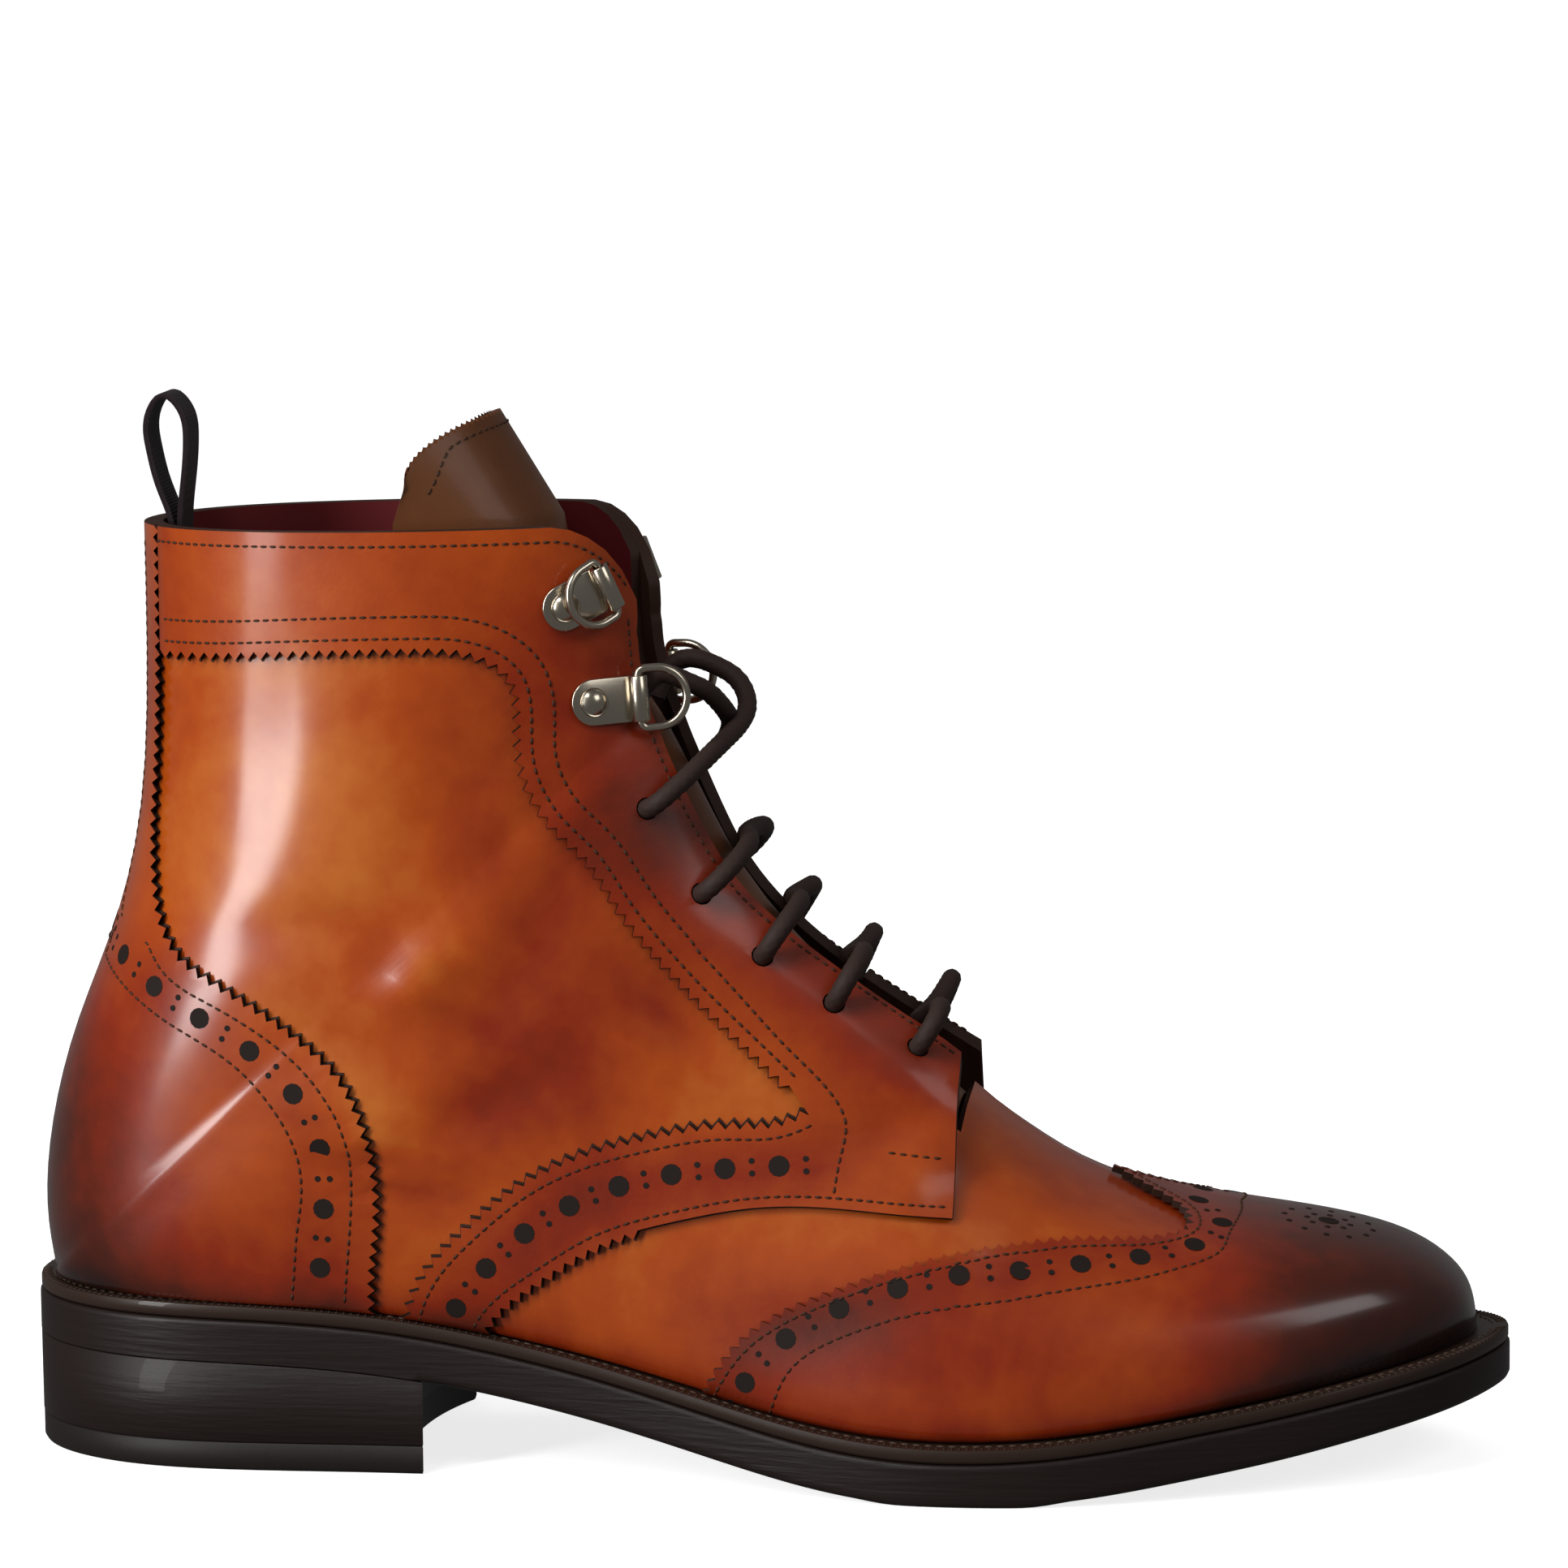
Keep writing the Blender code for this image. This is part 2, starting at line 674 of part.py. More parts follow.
def bridge(mesh, rings, closed=False):
    """Quads between successive rings; open ends get a cap."""
    count = len(rings[0])
    pairs = list(zip(rings, rings[1:])) + ([(rings[-1], rings[0])] if closed else [])
    for a, b in pairs:
        for i in range(count):
            k = (i + 1) % count
            mesh.faces.new([a[i], a[k], b[k], b[i]])
    if not closed:
        mesh.faces.new(rings[0][::-1])
        mesh.faces.new(rings[-1])
    bmesh.ops.remove_doubles(mesh, verts=mesh.verts, dist=0.002)
    bmesh.ops.dissolve_degenerate(mesh, edges=mesh.edges, dist=0.002)
    face_out(mesh)


def face_out(mesh):
    bmesh.ops.recalc_face_normals(mesh, faces=mesh.faces)
    if mesh.calc_volume(signed=True) < 0:
        bmesh.ops.reverse_faces(mesh, faces=mesh.faces)


# Bottom: everything here follows the feather line, moved out or in

SOLE_EDGE = read_table("""
    x   reach
 -40.0    6.0
 -20.0    5.0
  10.0    3.8
  50.0    4.0
 100.0    5.8
 150.0    7.2
 210.0    7.6
 270.0    8.6
""")
edge_reach = natural_spline(SOLE_EDGE["x"], SOLE_EDGE["reach"])
OUTLINE_STATIONS = 40
HEEL_STATIONS = 20


def outline_point(share, side):
    """Point of the feather line; shares past an end come back on the other side."""
    folded = -share if share < 0 else (2 - share if share > 1 else share)
    if folded != share:
        side = -side
    return np.array([float(x_around(folded)), float(feather_curve[side](folded))])


def outline_pair(share, reach):
    """Lateral and medial points of the outline, moved outward by reach."""
    step = 0.01
    pair = []
    for side in (LATERAL, MEDIAL):
        along = outline_point(share + step, side) - outline_point(share - step, side)
        outward = side * np.array([-along[1], along[0]])
        outward = -outward / np.linalg.norm(outward)
        point = outline_point(share, side)
        pair.append(point + outward * (reach(point[0]) if callable(reach) else reach))
    return pair


def sole_shares(low, high):
    """Stations round the outline between two x, close together at the ends."""
    low_share, high_share = float(around(low)), float(around(high))
    count = max(int(round(OUTLINE_STATIONS * (low_share - high_share))), HEEL_STATIONS)
    return np.linspace(high_share, low_share, count)


def loft_bottom(name, layers, material, low=HEEL_X, high=TOE_X):
    """Solid whose edge steps through layers of (reach, height) from top to bottom."""
    mesh = bmesh.new()
    rings = []
    for share in sole_shares(low, high):
        left, right = [], []
        for reach, height in layers:
            near, far = outline_pair(share, reach)
            left.append((near[0], near[1], float(height(near[0]))))
            right.append((far[0], far[1], float(height(far[0]))))
        rings.append([mesh.verts.new(p) for p in left + right[::-1]])
    bridge(mesh, rings)
    return new_object(name, mesh, material)


def inset_edge(amount):
    return lambda x: float(edge_reach(x)) - amount


def outsole_top(x):
    return welt_top(x) - WELT_THICK - GAP


def build_outsole():
    return loft_bottom("outsole", [
        (inset_edge(0.4), outsole_top),
        (inset_edge(0.0), lambda x: outsole_top(x) - 0.8),
        (inset_edge(0.0), lambda x: sole_bottom(x) + 1.4),
        (inset_edge(1.2), sole_bottom),
    ], sole_leather)


def build_insole():
    return loft_bottom("insole", [
        (-INSOLE_INSET, lambda x: welt_top(x) - WELT_THICK + INSOLE_THICK),
        (-INSOLE_INSET, lambda x: welt_top(x) - WELT_THICK),
    ], lining)


def build_welt():
    """Strip all round between the upper and the outsole."""
    mesh = bmesh.new()
    shares = sole_shares(HEEL_X, TOE_X)
    walk = [(s, 0) for s in shares] + [(s, 1) for s in shares[-2:0:-1]]
    rings = []
    for share, far in walk:
        inner = outline_pair(share, -2.4)[far]
        outer = outline_pair(share, inset_edge(0.3))[far]
        high_in, high_out = float(welt_top(inner[0])), float(welt_top(outer[0]))
        rings.append([mesh.verts.new(p) for p in (
            (*inner, high_in), (*outer, high_out),
            (*outer, high_out - WELT_THICK), (*inner, high_in - WELT_THICK))])
    bridge(mesh, rings, closed=True)
    return new_object("welt", mesh, sole_leather)


def cut_breast(heel):
    """Hollow front face of the heel."""
    half = 36.0
    radius = (half ** 2 + BREAST_HOLLOW ** 2) / (2 * BREAST_HOLLOW)
    mesh = bmesh.new()
    centre = Vector((HEEL_BREAST - BREAST_HOLLOW + radius, 0, 10))
    bmesh.ops.create_cone(mesh, cap_ends=True, segments=96, radius1=radius, radius2=radius,
                          depth=80, matrix=Matrix.Translation(centre))
    cut(heel, new_object("breast_" + heel.name, mesh, sole_leather), 'DIFFERENCE')


def build_heel():
    stack = loft_bottom("heel_stack", [
        (inset_edge(0.2), lambda x: sole_bottom(x) - GAP),
        (inset_edge(0.2), lambda x: TOP_LIFT + GAP),
    ], sole_leather, high=HEEL_BREAST + 10)
    lift = loft_bottom("heel_top_lift", [
        (inset_edge(0.2), lambda x: TOP_LIFT),
        (inset_edge(0.2), lambda x: 1.0),
        (inset_edge(0.9), lambda x: 0.0),
    ], lift_rubber, high=HEEL_BREAST + 10)
    for heel in (stack, lift):
        cut_breast(heel)
    return stack, lift


# Pull loop: a ribbon folded into an eye, both ends inside the back of the shaft

LOOP_WIDTH = 11.0
LOOP_THICK = 1.1
LOOP_PATH = read_table("""
    x      z
  -5.3  172.0
  -5.3  183.0
  -5.8  191.0
  -8.4  198.5
 -10.2  206.0
 -10.2  213.0
  -7.0  216.8
  -3.6  214.0
  -2.4  208.0
  -3.0  200.0
  -3.9  192.0
  -3.8  183.0
  -3.8  172.0
""")


def build_pull_loop():
    points = np.array(smooth_line(LOOP_PATH, 34))
    along = np.gradient(points, axis=0)
    along /= np.linalg.norm(along, axis=1, keepdims=True)
    outward = np.stack([-along[:, 1], along[:, 0]], 1) * LOOP_THICK / 2
    mesh = bmesh.new()
    rings = []
    for point, push in zip(points, outward):
        corners = [(point - push, -1), (point - push, 1), (point + push, 1), (point + push, -1)]
        rings.append([mesh.verts.new((xz[0], end * LOOP_WIDTH / 2, xz[1]))
                      for xz, end in corners])
    bridge(mesh, rings)
    return new_object("pull_loop", mesh, ribbon)


# Ring clips: a folded plate, its rivet and a D-ring, laid out flat along
# u towards the throat, v towards the collar and n off the leather

PLATE_THICK = 0.8
PLATE_HALF = 4.7
BAR_U = 9.3               # from the rivet to the ring's straight bar
BARREL_OUTER, BARREL_INNER = 1.9, 1.15
BARREL_HALF = 4.6
RING_HALF, RING_DEPTH = 6.0, 9.6
RIVET_RADIUS = 3.0
RING_SWING = {"lower": 14.0, "upper": 162.0}


def clip_frame(row, turn, lean, side):
    """Matrix from a clip's own axes to the boot, on the facing's outer face."""
    outward = Vector(skin_normal(row, turn, side, facing_point))
    toward = (-side * Vector((0, 0, 1)).cross(outward)).normalized()
    across = outward.cross(toward)
    angle = -side * np.radians(lean)
    u = toward * np.cos(angle) + across * np.sin(angle)
    v = outward.cross(u)
    frame = Matrix((u, v, outward)).transposed().to_4x4()
    return Matrix.Translation(Vector(facing_point(row, turn, side)) + outward * GAP) @ frame


def build_clip(name, place):
    """Plate with its rivet's dome and the barrel that holds the ring's bar."""
    mesh = bmesh.new()
    angles = np.linspace(np.pi / 2, 3 * np.pi / 2, 9)
    outline = [(PLATE_HALF * np.cos(a), PLATE_HALF * np.sin(a)) for a in angles]
    outline += [(BAR_U - 1.0, -PLATE_HALF), (BAR_U - 1.0, PLATE_HALF)]
    low = [mesh.verts.new((u, v, 0)) for u, v in outline]
    high = [mesh.verts.new((u, v, PLATE_THICK)) for u, v in outline]
    bridge(mesh, [low, high])
    mesh.transform(place)
    clip = new_object(name, mesh, nickel)
    barrel = bmesh.new()
    ring_count = 10
    loops = []
    for radius, v in ((BARREL_OUTER, -BARREL_HALF), (BARREL_OUTER, BARREL_HALF),
                      (BARREL_INNER, BARREL_HALF), (BARREL_INNER, -BARREL_HALF)):
        turns = np.arange(ring_count) * 2 * np.pi / ring_count
        loops.append([barrel.verts.new((BAR_U + radius * np.cos(a), v,
                                        BARREL_OUTER + radius * np.sin(a))) for a in turns])
    bridge(barrel, loops, closed=True)
    barrel.transform(place)
    cut(clip, new_object("barrel_" + name, barrel, nickel), 'UNION')
    dome = bmesh.new()
    profile = [(RIVET_RADIUS, 0.4), (RIVET_RADIUS, PLATE_THICK + 0.3),
               (RIVET_RADIUS * 0.75, PLATE_THICK + 1.1), (RIVET_RADIUS * 0.3, PLATE_THICK + 1.5)]
    loops = [[dome.verts.new((r * np.cos(a), r * np.sin(a), n))
              for a in np.arange(10) * np.pi / 5] for r, n in profile]
    bridge(dome, loops)
    dome.transform(place)
    cut(clip, new_object("dome_" + name, dome, nickel), 'UNION')
    return clip


def build_ring(name, place, swing):
    """D-ring in its clip; swing is its angle off the leather, 0 pointing forward."""
    corner = 1.4
    points = [(0, -RING_HALF + corner), (0, RING_HALF - corner)]
    points += [(corner * (1 - np.cos(a)), RING_HALF - corner * (1 - np.sin(a)))
               for a in np.radians([30, 60, 90])]
    straight = RING_DEPTH - RING_HALF
    points += [(straight + RING_HALF * np.sin(a), RING_HALF * np.cos(a))
               for a in np.radians(np.arange(0, 181, 22.5))]
    points += [(corner * (1 - np.cos(a)), -RING_HALF + corner * (1 - np.sin(a)))
               for a in np.radians([90, 60, 30])]
    ring = tube(name, [(u, v, 0) for u, v in points], WIRE_RADIUS, nickel, closed=True)
    hinge = place @ Matrix.Translation((BAR_U, 0, BARREL_OUTER))
    hinge = hinge @ Matrix.Rotation(-np.radians(swing), 4, 'Y')
    ring.matrix_world = Matrix.Translation(hinge.translation * MM) @ hinge.to_3x3().to_4x4()
    return ring


def tube(name, points, radius, material, closed=False):
    """Round wire or cord through points in millimetres."""
    points = np.array(points, dtype=float)
    if closed:
        along = np.roll(points, -1, 0) - np.roll(points, 1, 0)
    else:
        along = np.gradient(points, axis=0)
    along /= np.linalg.norm(along, axis=1, keepdims=True)
    side = np.cross(along[0], (0.31, 0.53, 0.79))
    turns = np.arange(TUBE_SIDES) * 2 * np.pi / TUBE_SIDES
    mesh = bmesh.new()
    rings = []
    for point, forward in zip(points, along):
        side = side - forward * np.dot(side, forward)
        side /= np.linalg.norm(side)
        other = np.cross(forward, side)
        rings.append([mesh.verts.new(point + radius * (side * np.cos(a) + other * np.sin(a)))
                      for a in turns])
    bridge(mesh, rings, closed)
    return new_object(name, mesh, material)


# Lace: straight bars over the throat, then one crossing up to the lower rings

BEND = 4.2                # radius of the lace where it comes out of an eyelet
END_CROWDING = 0.08       # how much closer a lace's points lie at its ends
BEND_START = 0.5          # height over the facing at which it begins to bend
BAR_LOW = 0.8             # lace's middle over the upper's level at the ridge
CROSSING_LATERAL = read_table("""
    x      y      z
 103.0  -19.0  142.6
 108.3  -10.0  147.2
 110.8    0.0  150.2
 111.0    6.0  153.4
 108.5    9.5  157.4
 103.5   11.0  160.2
  98.0   11.6  161.4
""")
CROSSING_MEDIAL = read_table("""
    x      y      z
 103.0   19.0  142.6
 106.8    9.0  146.8
 108.0    1.0  150.6
 106.8   -4.5  154.2
 103.8   -9.0  157.9
  99.8  -11.3  160.0
  96.5  -12.0  161.2
""")


def lace_out(row, turn, side, toward):
    """Centre line of a lace as it leaves an eyelet and bends over."""
    outward = skin_normal(row, turn, side, facing_point)
    face = facing_point(row, turn, side)
    toward = toward - face
    toward = toward - outward * np.dot(toward, outward)
    toward = toward / np.linalg.norm(toward)
    steps = ((-1.4, 0.0), (BEND_START, 0.0), (BEND_START + BEND * 0.71, BEND * 0.29),
             (BEND_START + BEND, BEND))
    return [face + outward * up + toward * along for up, along in steps]


def bar_point(row, turn, share, side):
    """Point of a bar from the eyelet's turn, share 0, to the ridge, share 1."""
    here = turn * (1 - share)
    edge = turn_at_width(row, FACING_GAP_HALF, side)
    high = float(facing_top(row, max(here, edge))) + BEND_START + BEND
    height = high + (BAR_LOW - high) * float(smooth_step(share, 1 - edge / turn, 1.0))
    return skin(row, here, side) + skin_normal(row, max(here, 2), side) * height


def build_bar(name, row, turn):
    half = []
    for side in (LATERAL, MEDIAL):
        walk = [bar_point(row, turn, share, side) for share in (0.55, 0.8)]
        half.append(lace_out(row, turn, side, walk[0]) + walk)
    path = smooth_path(half[0] + half[1][::-1], 18)
    return tube(name, path, LACE_RADIUS, waxed_cord)


def smooth_path(points, count):
    """Points on a smooth curve through the given ones, closest at its ends."""
    points = np.array(points)
    length = np.concatenate([[0], np.cumsum(np.linalg.norm(np.diff(points, axis=0), axis=1))])
    share = np.linspace(0, 1, count)
    where = length[-1] * (share - END_CROWDING * np.sin(2 * np.pi * share))
    return np.stack([natural_spline(length, column)(where) for column in points.T], -1)


def build_crossing():
    row, turn = EYELETS["row"][-1], EYELETS["turn"][-1]
    strands = []
    for side, table in ((LATERAL, CROSSING_LATERAL), (MEDIAL, CROSSING_MEDIAL)):
        spots = np.stack([table["x"], table["y"], table["z"]], -1)
        path = smooth_path([*lace_out(row, turn, side, spots[0]), *spots[1:]], 20)
        strands.append(tube("lace_crossing" if side == LATERAL else "strand_medial", path,
                            LACE_RADIUS, waxed_cord))
    cut(*strands, 'UNION')


leather = finish_material("cognac_leather", (0.42, 0.13, 0.03), 0.30)
leather_dark = finish_material("brown_leather", (0.22, 0.07, 0.03), 0.38)
tongue_leather = finish_material("tan_leather", (0.30, 0.15, 0.07), 0.5)
sole_leather = finish_material("dark_sole_leather", (0.03, 0.02, 0.018), 0.45)
lining = finish_material("burgundy_lining", (0.12, 0.01, 0.015), 0.6)
lift_rubber = finish_material("lift_rubber", (0.02, 0.018, 0.016), 0.6)
ribbon = finish_material("dark_ribbon", (0.02, 0.008, 0.01), 0.7)
nickel = finish_material("old_nickel", (0.55, 0.50, 0.42), 0.25, 1.0)
waxed_cord = finish_material("waxed_cord", (0.04, 0.03, 0.028), 0.5)

clear_scene()
boot_upper = build_upper()
build_wing_cap()
build_counter()
for boot_side in (LATERAL, MEDIAL):
    facing = build_facing(boot_side)
    punch_eyelets(facing, boot_side)
    punch_eyelets(boot_upper, boot_side)
    for number, level in enumerate(("lower", "upper")):
        clip_place = clip_frame(*(CLIPS[name][number] for name in ("row", "turn", "lean")),
                                boot_side)
        label = level + "_" + SIDE_NAMES[boot_side]
        build_clip("clip_" + label, clip_place)
        build_ring("ring_" + label, clip_place, RING_SWING[level])
build_tongue()
build_insole()
build_welt()
build_outsole()
build_heel()
build_pull_loop()
for number in range(4):
    build_bar(f"lace_bar_{number + 1}", EYELETS["row"][number], EYELETS["turn"][number])
build_crossing()
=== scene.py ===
import json
import math

import bmesh
import bpy
import numpy as np
from mathutils import Matrix, Vector
from mathutils.bvhtree import BVHTree

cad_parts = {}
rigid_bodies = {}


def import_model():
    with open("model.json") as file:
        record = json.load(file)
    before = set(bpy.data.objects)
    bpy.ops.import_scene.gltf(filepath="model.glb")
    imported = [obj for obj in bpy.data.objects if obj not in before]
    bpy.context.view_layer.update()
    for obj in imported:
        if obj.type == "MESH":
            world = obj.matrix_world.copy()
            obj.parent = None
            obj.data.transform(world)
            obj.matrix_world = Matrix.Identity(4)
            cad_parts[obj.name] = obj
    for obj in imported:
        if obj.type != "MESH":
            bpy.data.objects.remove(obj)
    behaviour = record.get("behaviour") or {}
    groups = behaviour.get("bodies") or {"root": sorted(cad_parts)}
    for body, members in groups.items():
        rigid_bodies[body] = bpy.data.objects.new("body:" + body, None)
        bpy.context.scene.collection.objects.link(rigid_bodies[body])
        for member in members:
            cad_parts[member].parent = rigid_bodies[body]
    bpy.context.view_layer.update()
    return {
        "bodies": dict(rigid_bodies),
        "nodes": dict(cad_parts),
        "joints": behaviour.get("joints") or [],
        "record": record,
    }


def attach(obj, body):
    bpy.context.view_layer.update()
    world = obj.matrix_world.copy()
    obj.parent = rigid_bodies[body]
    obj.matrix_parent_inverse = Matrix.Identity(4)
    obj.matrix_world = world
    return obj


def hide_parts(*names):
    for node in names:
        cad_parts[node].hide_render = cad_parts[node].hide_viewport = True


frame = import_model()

MM = 0.001

# Camera: a long lens at the boot's outer side, a little towards the toe's front
# and above it, rolled by a hair. The floor stays below it.
CAMERA_YAW, CAMERA_PITCH, CAMERA_ROLL = math.radians(7.5), math.radians(8.0), math.radians(-0.6)
CAMERA_DISTANCE = 1.400
CAMERA_TARGET = Vector((0.1192, 0.0, 0.1371))
CAMERA_LENS = 157.8

ahead = Vector((-math.sin(CAMERA_YAW) * math.cos(CAMERA_PITCH),
                math.cos(CAMERA_YAW) * math.cos(CAMERA_PITCH), -math.sin(CAMERA_PITCH)))
right = Vector((math.cos(CAMERA_YAW), math.sin(CAMERA_YAW), 0))
up = right.cross(ahead)
turned_right = right * math.cos(CAMERA_ROLL) + up * math.sin(CAMERA_ROLL)
turned_up = up * math.cos(CAMERA_ROLL) - right * math.sin(CAMERA_ROLL)
camera_data = bpy.data.cameras.new("photo_camera")
camera_data.lens = CAMERA_LENS
camera_data.sensor_width = 36.0
camera_data.clip_end = 20
camera = bpy.data.objects.new("photo_camera", camera_data)
bpy.context.scene.collection.objects.link(camera)
placing = Matrix((turned_right, turned_up, -ahead)).transposed().to_4x4()
camera.matrix_world = Matrix.Translation(CAMERA_TARGET - ahead * CAMERA_DISTANCE) @ placing
bpy.context.scene.camera = camera


# Studio: a pale floor, a pale room and four soft lamps, all plain. The room lights
# the boot dimly but looks white to the camera.


def soft_lamp(name, place, aim, size, power, colour=(1, 1, 1)):
    light = bpy.data.lights.new(name, 'AREA')
    light.shape = 'RECTANGLE'
    light.size, light.size_y = size
    light.energy = power
    light.color = colour
    lamp = bpy.data.objects.new(name, light)
    bpy.context.scene.collection.objects.link(lamp)
    lamp.location = place
    lamp.rotation_euler = (Vector(aim) - Vector(place)).to_track_quat('-Z', 'Y').to_euler()
    return lamp


soft_lamp("tall_lamp", (-0.70, -0.84, 0.50), (0.03, 0, 0.12), (0.24, 1.0), 12)
soft_lamp("high_lamp", (-0.30, -0.75, 1.15), (0.12, 0, 0.08), (0.5, 0.35), 4.5)
soft_lamp("front_lamp", (1.0, -0.55, 0.85), (0.15, 0, 0.08), (0.6, 0.5), 2.5)
back_lamp = soft_lamp("back_lamp", (0.10, 0.95, 1.3), (0.1, 0.2, 0.0), (1.6, 0.6), 3)
back_lamp.visible_glossy = False

world = bpy.data.worlds.new("pale_room")
world.use_nodes = True
world.node_tree.nodes["Background"].inputs["Color"].default_value = (1, 1, 1, 1)
ROOM_LIGHT = 0.13


def wired(tree, kind, values=(), sources=()):
    """A new node with its values set and its inputs linked to their sources."""
    made = tree.nodes.new(kind)
    for socket, value in dict(values).items():
        made.inputs[socket].default_value = value
    for socket, source in dict(sources).items():
        tree.links.new(source, made.inputs[socket])
    return made


light_path = wired(world.node_tree, "ShaderNodeLightPath")
room = wired(world.node_tree, "ShaderNodeMapRange", {"To Min": ROOM_LIGHT, "To Max": 1.0},
             {"Value": light_path.outputs["Is Camera Ray"]})
world.node_tree.links.new(room.outputs["Result"],
                          world.node_tree.nodes["Background"].inputs["Strength"])
bpy.context.scene.world = world
bpy.context.scene.view_settings.view_transform = 'Standard'

# The backdrop is one sheet: flat under the boot, then curved up behind it
BACKDROP_HALF, BACKDROP_BEND_Y, BACKDROP_RADIUS, BACKDROP_TOP = 4.0, 1.2, 1.4, 4.0
BEND_STEPS = 32
backdrop_line = [(-BACKDROP_HALF, 0.0), (BACKDROP_BEND_Y, 0.0)]
for step in range(1, BEND_STEPS + 1):
    angle = math.pi / 2 * step / BEND_STEPS
    backdrop_line.append((BACKDROP_BEND_Y + BACKDROP_RADIUS * math.sin(angle),
                          BACKDROP_RADIUS * (1 - math.cos(angle))))
backdrop_line.append((BACKDROP_BEND_Y + BACKDROP_RADIUS, BACKDROP_TOP))
backdrop_points = [(x, y, z) for y, z in backdrop_line for x in (-BACKDROP_HALF, BACKDROP_HALF)]
backdrop_faces = [(2 * i, 2 * i + 1, 2 * i + 3, 2 * i + 2) for i in range(len(backdrop_line) - 1)]
backdrop_mesh = bpy.data.meshes.new("studio_backdrop")
backdrop_mesh.from_pydata(backdrop_points, [], backdrop_faces)
backdrop_mesh.shade_smooth()
backdrop = bpy.data.objects.new("studio_backdrop", backdrop_mesh)
bpy.context.scene.collection.objects.link(backdrop)
backdrop_paint = bpy.data.materials.new("studio_backdrop")
backdrop_paint.use_nodes = True
backdrop_shader = backdrop_paint.node_tree.nodes["Principled BSDF"]
backdrop_shader.inputs["Base Color"].default_value = (0.86, 0.86, 0.86, 1)
backdrop_shader.inputs["Roughness"].default_value = 0.9
backdrop_shader.inputs["Specular IOR Level"].default_value = 0.1
backdrop_shader.inputs["Emission Color"].default_value = (1, 1, 1, 1)
backdrop_shader.inputs["Emission Strength"].default_value = 0.80
backdrop_mesh.materials.append(backdrop_paint)
backdrop.visible_glossy = False
backdrop.visible_diffuse = False


# Upper: quarters and vamp of calf leather in one hollow wall, lasted and lined.
# Everything on the boot is placed by its own surface, so the last's shape comes
# first: sections from the toe tip to the collar, each with turns round it.

LATERAL, MEDIAL = -1, 1
SIDE_NAMES = {LATERAL: "lateral", MEDIAL: "medial"}
GAP, WALL, OVERLAY = 0.3, 2.2, 1.4
WELT_THICK, INSOLE_THICK, TOP_LIFT = 3.0, 3.6, 6.0
HEEL_BREAST, BREAST_HOLLOW = 49.0, 8.0
LEVEL_HEIGHT = 3.5
THROAT_ROW, COLLAR_ROW = 9.0, 24.0
UPPER_GAP_HALF, VAMP_GAP_HALF, FACING_GAP_HALF = 17.5, 23.0, 15.0
FACING_LIFT = 7.0
LACE_RADIUS = 2.0
SKIN_COLUMNS = 30


def read_table(text):
    """Columns of a text table by their names in its first line."""
    lines = [line.split() for line in text.strip().splitlines()]
    values = np.array(lines[1:], dtype=float)
    return {name: values[:, i] for i, name in enumerate(lines[0])}


def natural_spline(knots, values):
    """A curve through the values whose slope and bend never jump."""
    knots = np.asarray(knots, dtype=float)
    values = np.asarray(values, dtype=float)
    count = len(knots)
    step = np.diff(knots)
    matrix = np.eye(count)
    right = np.zeros(count)
    for i in range(1, count - 1):
        matrix[i, i - 1:i + 2] = step[i - 1], 2 * (step[i - 1] + step[i]), step[i]
        right[i] = 6 * ((values[i + 1] - values[i]) / step[i]
                        - (values[i] - values[i - 1]) / step[i - 1])
    bend = np.linalg.solve(matrix, right)

    def curve(where):
        where = np.asarray(where, dtype=float)
        i = np.clip(np.searchsorted(knots, where) - 1, 0, count - 2)
        h = step[i]
        a = (knots[i + 1] - where) / h
        b = 1 - a
        return (a * values[i] + b * values[i + 1]
                + ((a ** 3 - a) * bend[i] + (b ** 3 - b) * bend[i + 1]) * h * h / 6)

    return curve


def smooth_step(value, low, high):
    """0 below low, 1 above high and a soft rise between."""
    share = np.clip((np.asarray(value, dtype=float) - low) / (high - low), 0, 1)
    return share * share * (3 - 2 * share)


# Foot of the upper on the welt, seen from above: y of each side at an x
FEATHER = read_table("""
    x   lateral  medial
 258.3     5.0     5.0
 256.0    -3.6    13.0
 252.0   -10.6    19.4
 245.0   -18.2    25.8
 235.0   -25.4    32.4
 222.0   -31.8    38.2
 205.0   -37.4    42.2
 188.0   -42.8    45.2
 170.0   -46.2    45.4
 152.0   -46.6    42.4
 135.0   -44.0    37.4
 115.0   -39.4    32.0
  95.0   -35.4    28.6
  75.0   -32.8    27.6
  55.0   -31.6    28.6
  30.0   -31.6    30.6
   5.0   -31.0    31.0
 -12.0   -26.8    27.2
 -22.0   -20.6    21.2
 -29.0   -12.0    12.4
 -32.0     0.0     0.0
""")
TOE_X, HEEL_X = FEATHER["x"][0], FEATHER["x"][-1]

# Side view of the sole: height of the welt's top and thickness below it
SOLE_SIDE = read_table("""
    x    top   thick
 -40.0  34.8   11.8
 -10.0  34.5   11.8
  24.0  33.5   11.8
  48.0  31.1   11.8
  64.0  28.4   11.8
  84.0  24.3   11.8
 106.0  19.0   11.8
 128.0  14.2   11.8
 146.0  12.1   11.8
 160.0  11.8   11.8
 176.0  12.5   11.8
 196.0  14.9   11.8
 218.0  18.3   11.6
 240.0  22.2   11.2
 258.0  25.2   10.8
 270.0  27.2   10.5
""")
FLAT_FROM, FLAT_TO = 150.0, 170.0   # where the forefoot rests on the floor

